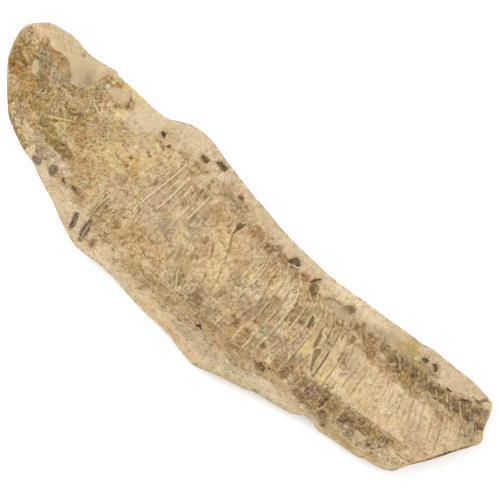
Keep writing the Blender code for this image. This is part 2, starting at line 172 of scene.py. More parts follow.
# Scales, scutes and small spots with an edge: a colour, then for each its middle, half sizes, strength
# and, where it is turned, its turn in degrees
TILES = [
    # scutes of the lower flank
    ("mauve", (-9, -26, 4, 6, 0.5)), ("russet", (46.6, -21.8, 2.8, 3, 0.8)),
    ("umber", (47.8, -21.6, 0.9, 1.8, 0.6, -15), (175.4, -26.4, 1.3, 0.9, 0.8, 20)),
    ("maroon", (114.4, -24, 3.9, 6, 0.65), (145, -14.6, 3.6, 1.4, 0.4, -45)),
    ("buff", (47.4, -30.4, 3.4, 6.8, 0.95), (80.4, -25, 3.8, 6, 0.7)),
    ("bark", (48.4, -30, 1.8, 5.4, 0.35)), ("buff", (54.6, -23.6, 3.4, 3.6, 0.9)),
    ("pinkbrown", (29.4, -27.5, 3.6, 8.4, 0.6), (56.4, -30.8, 3.2, 4.2, 0.75)),
    ("brown", (1, -29, 4.2, 6.5, 0.6), (29.8, -31, 3.2, 4.6, 0.45), (63.4, -22.6, 2.6, 2.6, 0.75),
        (89, -25.2, 3.9, 6.6, 0.65), (146.5, -18, 2.8, 2.2, 0.5), (165.4, -17.4, 3.7, 4.3, 0.6)),
    ("pinkbrown", (66, -28.4, 4, 3.8, 0.55)),
    ("umber", (31, -20.2, 1.3, 1.1, 0.6), (56.6, -22, 0.9, 0.9, 0.6), (57.4, -29.6, 1.2, 1, 0.4, 30),
        (76.9, -25, 0.5, 4, 0.4), (87.6, -26.6, 0.9, 1.6, 0.6), (89.2, -23.8, 0.8, 0.8, 0.5),
        (114.6, -27, 3, 2, 0.3), (162.2, -16, 0.9, 2.2, 0.6), (166, -20.4, 2.6, 1.6, 0.75)),
    ("mauve", (11, -25, 4.4, 5, 0.4)), ("russet", (36.4, -23.4, 3.2, 4.2, 0.8)),
    ("tan", (97.2, -24, 2.9, 6.2, 0.3), (173.6, -16.2, 3.8, 4, 0.75)),
    ("ochre", (122, -30.4, 3, 2.2, 0.4), (173.6, -14.8, 2.6, 2.2, 0.4)),
    ("slate", (51.6, -22.6, 0.7, 1.6, 0.5), (121.4, -20.6, 2.6, 5, 0.42), (125, -20, 1.4, 4.6, 0.35),
        (181.6, -15.8, 3, 5.2, 0.38)),
    ("maroon", (127.3, -25, 0.8, 4.8, 0.85), (147.8, -24.8, 3.3, 3.7, 0.75),
        (184.6, -17.4, 0.9, 2.4, 0.5)),
    ("umber", (34.4, -25.4, 0.9, 1.2, 0.5), (101, -26.4, 0.5, 4.4, 0.55), (180, -16, 1, 4, 0.5),
        (176.6, -22.4, 0.9, 0.8, 0.7), (183, -21.4, 1.3, 0.9, 0.8, 30)),
    ("tan", (37.4, -31, 3.4, 4.8, 0.6), (135.6, -22.4, 6.4, 6.4, 0.5)),
    ("buff", (189, -11.6, 4, 2.6, 0.5)),
    ("brown", (46, -37.6, 4, 3.2, 0.5), (105.8, -23.6, 3.2, 6.4, 0.4), (155, -19.4, 4, 5.8, 0.6),
        (173, -24, 1.4, 0.8, 0.6)), ("moss", (38, -37.2, 2.2, 1.3, 0.6)),
    ("slate", (130.4, -16.4, 1.8, 1.6, 0.5)),
    ("umber", (106.8, -19, 2, 1.8, 0.4), (155.6, -19.6, 2.2, 3.2, 0.4)),
    # flecks below the scutes
    ("umber", (132, -31, 2, 0.8, 0.8, 5), (137, -31.6, 1.6, 1.4, 0.7), (159.2, -27.2, 1.4, 1.2, 0.6),
        (112, -33, 2, 1, 0.5, 30), (105, -32, 2.2, 1.2, 0.5, 20), (99, -31, 2, 0.8, 0.45, 20),
        (117, -31, 1.4, 1, 0.5), (82.5, -31, 0.8, 1, 0.5), (55, -35.6, 1, 1, 0.5),
        (67, -36, 1.4, 0.8, 0.5), (60, -34, 1.2, 0.8, 0.4), (14, -33, 1.2, 1, 0.4), (8, -37, 1, 0.9, 0.5),
        (19.6, -35.4, 1.2, 1, 0.4)), ("slate", (136, -35, 4.4, 2, 0.4)),
    ("umber", (138.6, -38.2, 2.4, 1.1, 0.8)), ("moss", (129.6, -34, 1.6, 2, 0.6)),
    # scales along the back
    ("slate", (227, 30.8, 2.2, 2.6, 0.5, -15)), ("pinkbrown", (129.4, 37, 2.6, 3.4, 0.6)),
    ("umber", (119.4, 38.6, 1.9, 0.8, 0.7, -5), (141.6, 37.6, 1.2, 0.8, 0.5, 35),
        (160.7, 37.4, 0.9, 0.8, 0.6), (164, 39, 2.6, 2.4, 0.8), (218.8, 40.4, 1.7, 2.8, 0.6, 10),
        (231.6, 40.8, 2.2, 1.3, 0.95, 40), (229.2, 36.8, 1.3, 1.2, 0.8), (129.7, 25, 0.7, 0.7, 0.6),
        (153.5, 24.5, 0.8, 0.6, 0.6), (124.8, 29, 0.8, 0.6, 0.5), (158, 53, 0.9, 0.9, 0.7),
        (203.6, 50.8, 2.4, 0.6, 0.6, 20)),
    ("brown", (120.6, 41.2, 2.6, 0.9, 0.4), (145.6, 34.6, 3.2, 3.2, 0.65, 42),
        (221.4, 36.8, 1.3, 1.2, 0.6), (215.8, 44.6, 4, 1.2, 0.6, 50), (232.8, 36.6, 0.8, 1, 0.7),
        (217, 55.6, 2.2, 1.2, 0.6, 10), (220, 59.4, 1.4, 2.6, 0.6, -25), (179.6, 48.8, 2.6, 0.8, 0.55, 15),
        (164, 48.6, 1.6, 0.7, 0.35, 20)),
    ("maroon", (132.6, 41.6, 1.4, 1.4, 0.35), (165.6, 37.4, 1, 1, 0.5), (222.4, 46, 2.4, 2.4, 0.4)),
    ("umber", (136.4, 39.6, 1.9, 2, 0.65), (143.8, 35.2, 0.9, 0.9, 0.6), (169.2, 38.4, 2.4, 0.8, 0.7, -42),
        (169.8, 34, 1, 1.6, 0.6, -20), (174.2, 40.4, 1.6, 2.2, 0.7), (220.6, 48.4, 1.6, 1.4, 0.65),
        (223.4, 42.8, 1.6, 0.6, 0.7, 50)), ("pinkbrown", (146, 40.4, 2.2, 1.6, 0.5, 30)),
    ("brown", (136, 36, 1.2, 2, 0.6), (177.2, 39.2, 1.4, 2, 0.6), (224, 51, 2, 1.8, 0.5),
        (228, 50, 1.7, 1.9, 0.5)),
    ("umber", (151.6, 38.8, 2.2, 2, 0.65), (157.3, 40.2, 2.2, 0.9, 0.7, 42), (181.8, 40, 2.2, 2.6, 0.7),
        (187.6, 38, 4.6, 1.1, 0.65, -48)),
    ("moss", (153, 34.4, 2.8, 3, 0.6, 42), (161, 31, 1.8, 2.8, 0.5, 42)),
    ("dark", (189.4, 42, 3, 2, 0.85, -8)),
    ("brown", (192.6, 37.8, 1.5, 1.1, 0.6, -20), (197, 43.8, 2.8, 1, 0.5, 25), (200.2, 41, 2, 2.4, 0.65)),
    ("russet", (203.8, 36.6, 3, 1.1, 0.5, -48)), ("dark", (207.6, 40.6, 3, 2.6, 0.8)),
    # spots on the head and the trunk
    ("slate", (-216, 32.6, 3, 3.2, 0.55, 15), (57.6, -12.6, 3, 2.4, 0.12), (89.6, -12, 2.6, 3, 0.12)),
    ("umber", (-102.4, 30, 1.3, 1.1, 0.85), (-130, 18, 0.9, 0.7, 0.6), (-131, 11.5, 0.8, 0.6, 0.5),
        (-109.6, 17.6, 1, 0.9, 0.8), (-120, 16, 0.8, 0.7, 0.5), (-55.6, 29.4, 0.9, 0.9, 0.7),
        (-61, -18, 2, 1, 0.4, 20), (-161.4, 17.8, 1.8, 2.4, 0.8, 15), (-191, 53.6, 1.6, 1.4, 0.45),
        (-214, 26.6, 1.4, 0.9, 0.5, -40), (21.4, 2.4, 1.6, 1.2, 0.5, -30), (73, 10.4, 1.6, 1.4, 0.6),
        (47, -11.6, 2, 1.2, 0.55, 35)),
    ("russet", (-99.6, 41.5, 1.8, 1.2, 0.6), (-119, 24, 2.2, 1.4, 0.75, 10), (-102, -3, 2, 0.8, 0.5, 20),
        (-66, -19, 2.4, 2.6, 0.25), (1, 39, 3, 2.4, 0.6), (16, 37.6, 3, 2.4, 0.7), (-4, 38, 2, 1.8, 0.55),
        (-25.6, 50.6, 3, 2.4, 0.4), (46, 36.4, 2, 2.4, 0.75)),
    ("brown", (-91, 29.6, 1.7, 1.2, 0.9), (-61.8, 31, 0.8, 6, 0.45, 3), (-57, 33, 0.7, 4, 0.45, 3),
        (-45.8, 34, 0.7, 4, 0.45, 3), (-82, 17, 1.1, 2.6, 0.5, 5), (-90, -2, 1.4, 0.8, 0.4),
        (-76, -15, 1, 2.4, 0.4), (-196.4, 55.6, 1.2, 0.8, 0.5), (-203.4, -7, 1.4, 1.6, 0.6),
        (-137.6, 49, 1.8, 3, 0.5, -15), (21, 41, 2.6, 1.6, 0.65), (38, 36.6, 2.4, 1.8, 0.65, 20),
        (30, 40, 2, 1.2, 0.55), (30, 19.4, 2.6, 2.2, 0.5), (57, 4, 2.6, 2.2, 0.4),
        (30.4, -6.6, 2.6, 2.6, 0.35, 20), (12, -12.6, 1.6, 1.2, 0.4)),
    ("dark", (-173.8, 31, 1.5, 1.1, 0.85), (-169.6, 29.2, 1.8, 1.1, 0.75, 10)),
]


def edge(points):
    """A smooth curve through the points, as a function of the share of its length."""
    points = np.array(points, float)
    ends = np.vstack([2 * points[0] - points[1], points, 2 * points[-1] - points[-2]])
    t = np.linspace(0, 1, CURVE_STEPS, endpoint=False)[:, None]
    runs = []
    for a, b, c, d in zip(ends, ends[1:], ends[2:], ends[3:]):
        bend = a - 2.5 * b + 2 * c - 0.5 * d
        twist = 1.5 * (b - c) + 0.5 * (d - a)
        runs.append(b + 0.5 * t * (c - a) + t**2 * bend + t**3 * twist)
    curve = np.vstack([*runs, points[-1:]])
    along = np.cumsum(np.linalg.norm(np.diff(curve, axis=0, prepend=curve[:1]), axis=1))
    share = along / along[-1]

    def at(s):
        return np.stack([np.interp(s, share, curve[:, 0]), np.interp(s, share, curve[:, 1])], -1)

    return at


def level_line(points):
    """The height on the face of a line through the points, as a function of x."""
    x, y = np.array(points, float).T
    return lambda at_x: np.interp(at_x, x, y)


snout, back = edge(SNOUT_END), edge(BACK_EDGE)
tail, belly = edge(TAIL_BREAK), edge(BELLY_EDGE)
back_margin, belly_margin = level_line(BACK_MARGIN), level_line(BELLY_MARGIN)
scute_top, scute_foot = level_line(SCUTE_TOP), level_line(SCUTE_FOOT)


def plan(u, v):
    """The place in plan for shares u (snout to tail) and v (belly to back), filling the four edges."""
    across, up = u[:, None], v[:, None]
    ruled = (1 - up) * belly(u) + up * back(u) + (1 - across) * snout(1 - v) + across * tail(1 - v)
    corners = (1 - across) * ((1 - up) * belly(0.0) + up * back(0.0))
    corners += across * ((1 - up) * belly(1.0) + up * back(1.0))
    return ruled - corners


# ---------------------------------------------------------------- fields over the plan


def ease(value, start, width):
    """0 before start, 1 from start + width on, and smooth between."""
    t = np.clip((value - start) / width, 0, 1)
    return t * t * (3 - 2 * t)


def lumps(x, y, size, seed):
    """Smooth random field from -1 to 1 whose lumps are about size across."""
    table = np.random.default_rng(seed).uniform(-1, 1, (256, 256))
    turn = 0.6 + seed
    gx = (x * math.cos(turn) - y * math.sin(turn)) / size
    gy = (x * math.sin(turn) + y * math.cos(turn)) / size
    ix, iy = np.floor(gx).astype(int), np.floor(gy).astype(int)
    fx, fy = gx - ix, gy - iy
    fx, fy = fx * fx * (3 - 2 * fx), fy * fy * (3 - 2 * fy)

    def corner(i, j):
        return table[(ix + i) % 256, (iy + j) % 256]

    low = corner(0, 0) * (1 - fx) + corner(1, 0) * fx
    high = corner(0, 1) * (1 - fx) + corner(1, 1) * fx
    return low * (1 - fy) + high * fy


def rough(x, y, size, seed, octaves=4, fall=0.55):
    """Several sizes of lumps added up, each octave half the size of the one before."""
    total = sum(fall**n * lumps(x, y, size / 2**n, seed + n) for n in range(octaves))
    return total / sum(fall**n for n in range(octaves))


def line_place(x, y, points, width):
    """For a tapered line: the distance to one side of it, its half width there, and how far inside it."""
    points = np.array(points, float)
    lengths = np.linalg.norm(np.diff(points, axis=0), axis=1)
    before = np.concatenate([[0], np.cumsum(lengths)])
    side, half, depth = np.full(x.shape, 9.0), np.full(x.shape, -9.0), np.full(x.shape, -99.0)
    for (ax, ay), (bx, by), length, start in zip(points, points[1:], lengths, before):
        dx, dy = (bx - ax) / length, (by - ay) / length
        along = (x - ax) * dx + (y - ay) * dy
        t = np.clip(along, 0, length)
        across = (y - ay) * dx - (x - ax) * dy
        share = np.clip((start + t) / before[-1], 0, 1)
        here = 0.5 * width * (0.45 + 0.55 * np.sqrt(np.sin(np.pi * share).clip(0))) - np.abs(along - t)
        away = np.hypot(across, along - t)
        inside = here + np.abs(along - t) - away
        nearer = inside > depth
        side[nearer], half[nearer], depth[nearer] = across[nearer], here[nearer], inside[nearer]
    return side, half, depth


def outline_depth(x, y, points):
    """How far inside a closed outline each place is; negative outside."""
    points = np.array(points, float)
    away, inside = np.full(x.shape, 99.0), np.zeros(x.shape, bool)
    for (ax, ay), (bx, by) in zip(points, np.roll(points, -1, axis=0)):
        dx, dy = bx - ax, by - ay
        t = np.clip(((x - ax) * dx + (y - ay) * dy) / (dx * dx + dy * dy), 0, 1)
        away = np.minimum(away, np.hypot(x - ax - t * dx, y - ay - t * dy))
        crosses = (ay > y) != (by > y)
        inside ^= crosses & (x < ax + (y - ay) * dx / (dy if dy else 1e-9))
    return np.where(inside, away, -away)


def oval_place(x, y, at, half, turn):
    """Places measured along and across a turned oval or rectangle, in shares of its half sizes."""
    c, s = math.cos(math.radians(turn)), math.sin(math.radians(turn))
    dx, dy = x - at[0], y - at[1]
    return (dx * c + dy * s) / half[0], (dy * c - dx * s) / half[1]


def soft_area(x, y, at, half, turn):
    """1 in the middle of a turned oval, falling smoothly to 0 a little outside it."""
    return 1 - ease(np.hypot(*oval_place(x, y, at, half, turn)), 0.74, 0.46)


def tile_depth(x, y, at, half, turn):
    """How far inside a turned rectangle each place is; negative outside."""
    along, across = oval_place(x, y, at, half, turn)
    return np.minimum(half[0] * (1 - np.abs(along)), half[1] * (1 - np.abs(across)))


def scale_place(x, y):
    """Which scale column each place is in, and how far across it, as one number."""
    heights = -np.array(SCALE_HEIGHTS, float)
    edges = np.array([np.interp(-y, heights, row) for row in SCALE_EDGES])
    across = x + 0.5 * lumps(x, y, 11, 41) + 0.25 * lumps(x, y, 4, 42)
    column = np.clip((edges <= across).sum(0) - 1, 0, len(edges) - 2)
    each = np.arange(x.size)
    left, right = edges[column, each], edges[column + 1, each]
    return column + np.clip((across - left) / (right - left), -3, 3)


# ---------------------------------------------------------------- what lies in the face

# Palette colours are as seen under bright light, and the stone itself is darker by these shares
STONE_SHADE = (0.725, 0.71, 0.675)
PALETTE = {
    "stone": (206, 187, 159),
    "warm stone": (203, 181, 145),
    "bright stone": (226, 205, 171),
    "fish": (195, 168, 129),
    "tail flank": (213, 187, 150),
    "brown": (138, 111, 72),
    "dark": (94, 73, 49),
    "black": (68, 53, 42),
    "ochre": (170, 131, 74),
    "orange": (200, 155, 100),
    "olive": (160, 134, 76),
    "mauve": (184, 158, 130),
    "grey": (158, 141, 112),
    "pale": (230, 212, 178),
    "yellow": (216, 194, 136),
    "pink": (216, 186, 154),
    "rust": (160, 111, 68),
    "white": (240, 224, 194),
    "umber": (112, 85, 50),
    "head": (176, 148, 97),
    "gill": (193, 166, 123),
    "dull stone": (191, 171, 136),
    "cream": (217, 191, 146),
    "bone": (200, 183, 150),
    "russet": (150, 114, 82),
    "buff": (166, 134, 92),
    "sulphur": (198, 178, 118),
    "maroon": (110, 80, 64),
    "pinkbrown": (180, 143, 112),
    "slate": (120, 104, 82),
    "charcoal": (98, 84, 75),
    "plum": (152, 129, 113),
    "dark olive": (102, 84, 56),
    "bark": (138, 110, 60),
    "moss": (140, 120, 78),
    "tan": (168, 139, 92),
    "greengrey": (168, 155, 124),
}

# Soft stains and a little painted shade, in the same form as the tiles, each group laid over the ones before
STAINS = [
    # broad tones, laid first
    ("bark", (-170, 27, 16, 4, 0.35, 5), (150, 27, 34, 4, 0.35), (169, 47, 12, 3.4, 0.75, 3),
        (219, 34, 5, 3, 0.4), (162, 26, 8, 3, 0.35)),
    ("tan", (-98, 48, 36, 6, 0.32, 8), (-82, 38, 15, 9, 0.35), (-212, 50, 20, 6, 0.3, 5),
        (-108, 12, 15, 12, 0.3), (-28, -17, 14, 9, 0.4), (98, 26, 24, 5, 0.45),
        (-136, -37, 11, 5, 0.6, -20), (-128, -19, 13, 6, 0.3), (22, -43, 26, 5, 0.3), (-90, 2, 9, 8, 0.35),
        (135, -20, 8, 5, 0.4), (196, 3, 12, 8, 0.35), (134, 2, 7, 8, 0.3), (78, 27, 6, 4, 0.45),
        (193, -11, 6, 3, 0.6, 8)),
    ("pinkbrown", (-34, 32, 6, 6, 0.35), (-6, 31, 6, 7, 0.4), (-104, -10, 6, 14, 0.35)),
    ("brown", (22, -38.5, 10, 2.5, 0.35), (64, -38, 7, 3, 0.35), (-6, -38, 8, 3, 0.3)),
    ("greengrey", (150, -31, 40, 3, 0.3, 4), (118, -37, 14, 3, 0.4), (122, -22, 4, 6, 0.3)),
    ("sulphur", (-70, -53, 34, 3.5, 0.3, -1), (182, -36, 20, 2.5, 0.4, 8)),
    ("mauve", (22, -26, 6, 8, 0.4), (196, 30, 14, 4, 0.35)), ("cream", (45, 7, 30, 10, 0.4)),
    ("pink", (160, 8, 44, 14, 0.2), (-84, 38, 12, 8, 0.3), (22, 14, 18, 9, 0.25)),
    ("stone", (-178, -15, 12, 4, 0.4, -8), (-203, -14, 6, 4, 0.3, -40), (212, 16, 10, 8, 0.3),
        (-118, 10, 8, 6, 0.25), (46, 48, 22, 4, 0.35), (-44, 48, 9, 4, 0.3), (163, -29, 9, 3, 0.3)),
    ("warm stone", (-55, -30, 12, 4, 0.4)), ("buff", (85, -21, 10, 3.5, 0.35)),
    ("ochre", (158, 33, 13, 5, 0.4)), ("tail flank", (164, 29, 15, 4, 0.22)),
    ("pale", (163, 39, 7, 4, 0.12)),
    # bare stone above the head and the window in it
    ("dull stone", (-205, 53, 26, 7, 0.6), (-184, 46, 14, 12, 1.0, 20), (-178, 43, 11, 9, 0.6, 25)),
    ("grey", (-178, 41, 12, 9, 0.35, 25), (-176, 41, 7, 5.4, 0.5, 25)),
    ("pink", (-222, 46, 10, 4, 0.5, -8)), ("slate", (-175.4, 41, 3.6, 3, 0.3, 25)),
    ("bark", (-174, 32, 7, 4, 0.4)), ("brown", (-167, 54, 5, 5, 0.3)),
    # skull roof
    ("grey", (-203, 29, 17, 12, 0.55, -10)), ("dark", (-208, 27, 6, 1.8, 0.5, -35)),
    ("brown", (-201, 40, 10, 3, 0.7, -3)), ("ochre", (-200, 37, 8, 3, 0.7, -15)),
    ("brown", (-189, 35, 6, 2.5, 0.7, -50), (-215, 39, 7, 2.5, 0.6, 15)), ("grey", (-191, 27, 7, 6, 0.8)),
    ("brown", (-198, 31, 9, 1.3, 0.5, 10)), ("grey", (-211, 21, 6, 7, 0.4, 30)),
    ("pinkbrown", (-200, 25, 4.5, 4, 0.5), (-214, 35, 5, 3, 0.4)), ("brown", (-200, 17, 5, 5, 0.7, -30)),
    ("olive", (-203, 20, 3, 3, 0.4)), ("grey", (-196, 10, 4, 5, 0.8, 20)),
    # snout
    ("pink", (-228, 39, 7, 6, 0.6)), ("yellow", (-222, 34, 3, 5, 0.5, 20)),
    ("mauve", (-234, 37, 5, 4, 0.8)), ("brown", (-232, 31, 5, 1.2, 0.7, -5)),
    ("olive", (-224, 28, 9, 4, 0.8, -20)), ("ochre", (-224, 14, 11, 6, 0.9, -40)),
    ("rust", (-227, 22, 8, 2.8, 0.85, -32)), ("brown", (-223, 20.3, 11, 2.2, 0.7, -30)),
    ("orange", (-211, 15.5, 5, 2.2, 0.9, -35)), ("ochre", (-215, 9, 10, 5, 0.8, -20)),
    ("olive", (-205, 10, 5, 3, 0.8, -35)), ("ochre", (-203, 7, 8, 3.6, 0.75, -30)),
    ("brown", (-199, 3, 5, 1.8, 0.5, -35), (-231, 18, 3, 9, 0.5, 25)),
    ("warm stone", (-216, 1, 7, 4, 0.5, -45)),
    # lower jaw and throat
    ("olive", (-191, 2, 8, 8, 0.75)), ("moss", (-191, 1, 7, 6, 0.45)), ("ochre", (-191, -4, 4, 4, 0.6)),
    ("mauve", (-197, -11, 8, 6, 0.4, -20)), ("cream", (-180, -17, 12, 4, 0.4, -15)),
    ("ochre", (-183, -12, 7, 4, 0.6)), ("olive", (-170, -9, 16, 4, 0.35)),
    ("warm stone", (-188, -20.6, 14, 5, 0.8, -18)), ("stone", (-172, -18, 9, 4, 0.5)),
    ("brown", (-203, -7, 2, 2.5, 0.6), (-153, -13, 11, 4.5, 0.9)), ("mauve", (-166, -25, 4, 4, 0.8)),
    ("bark", (-154, -12.8, 10, 4.2, 0.7)),
    ("stone", (-150, -22, 14, 4.5, 0.95, -8), (-154, -31, 14, 6, 0.6, -15)),
    # cheek and eye
    ("mauve", (-179, 8, 7, 6, 0.6, 30), (-168, 21, 6, 3, 0.5)),
    ("olive", (-171, 15, 4, 2, 0.6), (-183, 26, 6, 2, 0.5, 10)),
    ("brown", (-161, 17, 2, 4, 0.6, -10), (-178, -5.5, 4.5, 4, 0.6), (-180, 20, 5, 3, 0.25)),
    ("olive", (-157, 12, 8, 6, 0.6, 20)),
    ("ochre", (-155, 4, 8, 4, 0.7), (-147, 2, 4, 6, 0.5), (-172, 27, 6, 3, 0.5)),
    # gill cover
    ("grey", (-162, 44, 5, 7, 0.8)), ("pale", (-159, 48, 3, 2, 0.6, 20)),
    ("yellow", (-158, 55, 4, 4, 0.7), (-144, 38, 8, 5, 0.5, 20)), ("ochre", (-152, 55, 5, 2, 0.6, 20)),
    ("pink", (-148, 50, 9, 4, 0.55, 35)), ("tan", (-147, 32, 7, 4, 0.45)),
    ("yellow", (-140, 57, 14, 2, 0.8)), ("brown", (-142, 43, 7, 1.6, 0.6, 35), (-137, 48, 3, 5, 0.6, 10)),
    ("stone", (-121, 48, 15, 10, 0.9), (-128, 41, 9, 5, 0.6)), ("pinkbrown", (-152, 35, 6, 4, 0.65, -20)),
    # front of the trunk
    ("stone", (-125, -41, 14, 7, 0.8, -22), (-104, -44, 4, 7, 0.5)),
    ("mauve", (-108, 33, 6, 5, 0.6), (-76, 8, 13, 16, 0.55)),
    ("yellow", (-120, 12, 14, 10, 0.35), (-87, -5, 4, 12, 0.3)),
    ("rust", (-118.5, 22, 2.5, 2.5, 0.5), (-136, -9.4, 7, 3, 0.6, 15)), ("mauve", (-88, -20, 7, 6, 0.6)),
    ("brown", (-104, 1, 6, 4, 0.5, 10), (-97, 40.5, 2, 2, 0.7), (-100, 29, 1.6, 1.6, 0.8),
        (-90, 29, 2, 2, 0.7), (-86, -29, 5, 4, 0.7), (-88, -52, 3.5, 5, 0.6)),
    ("orange", (-107, 15, 7, 7, 0.55), (-53, -27, 28, 8, 0.3)),
    ("ochre", (-119, -31, 5, 3, 0.3), (-73, -20, 5, 5, 0.4), (-65, -20, 4, 5, 0.35)),
    ("pink", (-88, 20, 8, 12, 0.3)), ("moss", (-100, -29, 7.5, 11, 0.55, 3)),
    ("brown", (-126, -28, 9, 3, 0.35), (-99, -47, 4, 9, 0.5, 8)),
    ("warm stone", (-62, -54, 26, 5, 0.8, -2)), ("pale", (-78, -57, 16, 2.5, 0.5)),
    # margin of the back, front half
    ("brown", (-80, 47, 5, 3, 0.6), (-69, 48, 3, 2.5, 0.6), (-61, 47, 2.5, 2.5, 0.5),
        (-81.5, 16, 1.6, 3, 0.7), (-69, 23, 2, 1.6, 0.6)), ("orange", (-70, 33, 5, 5, 0.35)),
    ("pinkbrown", (-38, 51, 6, 4, 0.5, 30)), ("grey", (-35, 46, 5, 3, 0.8, 10), (-25, 45, 6, 3, 0.8)),
    ("rust", (-15, 49.5, 7, 3, 0.4, -5)), ("mauve", (-9, 46, 6, 3, 0.5)),
    # middle of the trunk
    ("rust", (2, 39, 7, 5, 0.5), (16, 37, 6, 4, 0.6), (31, 38, 6, 5, 0.4)),
    ("brown", (-50, 34, 3, 8, 0.45), (-55, 29, 1.6, 1.6, 0.8), (-20, -26, 9, 5, 0.5, -40),
        (17, 36, 4, 3, 0.6), (22, 42, 4, 2, 0.5), (21.5, 2, 2.4, 1.8, 0.6), (65, 13, 4.5, 9, 0.3, 8),
        (73, 17, 4.5, 8, 0.35, 8)), ("pink", (-30, -24, 6, 6, 0.3)),
    ("mauve", (-39, 14, 7, 10, 0.85), (-52, -3, 10, 6, 0.85), (9, 29, 8, 7, 0.5), (30, -7, 7, 8, 0.7),
        (66, -9, 6, 6, 0.6), (78, -4, 6, 10, 0.5)),
    ("grey", (-41, 8, 6, 4, 0.4), (-33, 4, 4, 5, 0.5), (-57, -5, 3, 2, 0.6), (57, -13, 5, 4, 0.4)),
    ("pinkbrown", (-21, 3, 5, 7, 0.25, 30)),
    ("olive", (-33, 33, 3, 5, 0.5), (-24, 9, 5, 2.5, 0.3, 20), (-33, -44, 30, 6, 0.45)),
    ("ochre", (-27, 28, 4, 6, 0.4)), ("cream", (-9, 3, 6, 14, 0.75, 10), (1, -6, 7, 12, 0.5)),
    ("yellow", (-42, -2, 5, 4, 0.5), (20, 18, 7, 9, 0.35)),
    ("brown", (-23, -6, 4, 3, 0.5, 40), (13, 14, 4, 4, 0.35), (13.5, 3, 3, 5, 0.5), (12, -13, 3, 3, 0.4)),
    ("orange", (31, 22, 7, 8, 0.3)), ("grey", (30, 7, 5, 4, 0.4)),
    ("mauve", (-5, -26, 8, 9, 0.6), (40, 3, 4, 12, 0.55), (20, -12, 8, 8, 0.4)),
    ("brown", (1, -30, 4.5, 6, 0.8), (30, 19.5, 3.5, 2.6, 0.6), (47.5, 3, 4, 10, 0.25)),
    ("grey", (13, -33, 9, 5, 0.6)),
    # ground of the scutes
    ("olive", (118, -34, 20, 4, 0.4)), ("brown", (112, -34, 12, 2.6, 0.5), (32, -38.6, 28, 2.8, 0.35)),
    ("stone", (122, -39, 22, 3, 0.5, 4)), ("slate", (137, -34, 8, 4, 0.35)),
    ("black", (138.5, -38, 3, 1.6, 0.6)), ("greengrey", (165, -28, 18, 4, 0.6, 10)),
    ("cream", (163, -31, 9, 3, 0.4, 8)),
    ("umber", (133, -31.5, 3, 2, 0.5), (108, -32, 5, 2, 0.5), (160, -28, 3, 1.6, 0.5),
        (174, -24, 2.6, 1.4, 0.6)),
    # belly below the scutes
    ("brown", (82, -53, 4, 1.2, 0.6, 12)), ("buff", (184, -31.5, 6, 2, 0.7, 8)),
    ("warm stone", (195, -25, 12, 5, 0.6, 15)), ("olive", (150, -37, 20, 3, 0.5, 2)),
    ("greengrey", (14, -55, 12, 4, 0.5), (62, -50, 12, 3, 0.4, 12)),
    ("pinkbrown", (34, -56, 8, 2.5, 0.3, 10), (2, -53, 8, 2, 0.35)), ("grey", (46, -52, 9, 2.4, 0.35, 8)),
    ("mauve", (72, -41, 14, 3, 0.45, 8), (25, -45, 30, 4.5, 0.6)), ("sulphur", (-8, -62, 9, 1.6, 0.4)),
    ("cream", (-22, -59.5, 16, 3, 0.6)), ("bright stone", (-12, -61.6, 15, 2.4, 0.5)),
    ("greengrey", (20, -55, 26, 4.5, 0.4)), ("sulphur", (56, -59, 30, 3, 0.3, 19)),
    ("pink", (15, -63, 18, 3.5, 0.5, -6)), ("stone", (90, -45, 18, 4, 0.6, 8)),
    ("pale", (97, -46, 8, 2.5, 0.5, 8)), ("ochre", (-10, -61, 26, 2, 0.35, -3)),
    # margin of the back, rear half
    ("rust", (52.8, 38.6, 3.2, 3.4, 0.75), (45, 35, 5, 4, 0.4), (63, 29, 7, 3, 0.4, -20)),
    ("bright stone", (100, 50, 34, 6, 0.8, 4)),
    ("stone", (40, 49, 40, 3.5, 0.5, -4), (200, 57, 24, 5, 0.5, 3)),
    ("grey", (90, 37, 15, 6, 0.5), (132, 46, 12, 5, 0.3, 10)), ("sulphur", (148, 54, 9, 6, 0.68, 20)),
    ("olive", (152, 52, 6, 4, 0.5)), ("ochre", (150, 57, 3, 1.5, 0.4)), ("moss", (155, 49, 5, 2, 0.3, 20)),
    ("sulphur", (160, 52, 6, 5, 0.4)), ("olive", (144, 48, 6, 3, 0.4), (155, 45, 12, 4, 0.5)),
    ("sulphur", (168, 45, 8, 2.5, 0.4)),
    ("mauve", (86, 39, 12, 3, 0.4), (92, 36, 13, 4.5, 0.3), (170, 51, 6, 3, 0.5, 10)),
    ("brown", (106, 34.5, 4.5, 3.4, 0.7), (97, 28, 5, 3, 0.5)), ("slate", (96, 43, 4.4, 2.6, 0.6)),
    # dark band of small scales along the back
    ("brown", (118, 36, 12, 5, 0.5)), ("olive", (124, 32, 9, 5, 0.6, -30)), ("bark", (132, 38, 9, 5, 0.4)),
    ("rust", (130, 32, 5, 6, 0.5)), ("bark", (145, 37, 10, 6, 0.55), (158, 38.6, 10, 5.5, 0.65)),
    ("olive", (157, 32, 9, 5, 0.7, -20)),
    ("bark", (172, 38.5, 12, 6, 0.65, -3), (190, 40.5, 14, 5.5, 0.65, 5)),
    # the last brown here is painted shade under the ledge at the tail's upper corner
    ("brown", (210, 42.5, 14, 7, 0.7, 10), (224, 46, 11, 8, 0.45, 30), (216, 52, 9, 3, 0.45, 25)),
    ("greengrey", (228, 33, 6, 8, 0.6, 30)), ("ochre", (168, 30, 14, 5, 0.5, -15)),
    ("orange", (145, 27, 9, 4, 0.4)), ("rust", (204, 25, 6, 9, 0.35, 30)), ("olive", (213, 33, 8, 5, 0.4)),
    # rear flank
    ("olive", (100, 14, 4.5, 12, 0.35, 22)), ("brown", (117, 11, 3.2, 7, 0.55, 18)),
    ("warm stone", (225, 26, 7, 5, 0.4, 40)), ("pale", (27, 6, 11, 8, 0.4)),
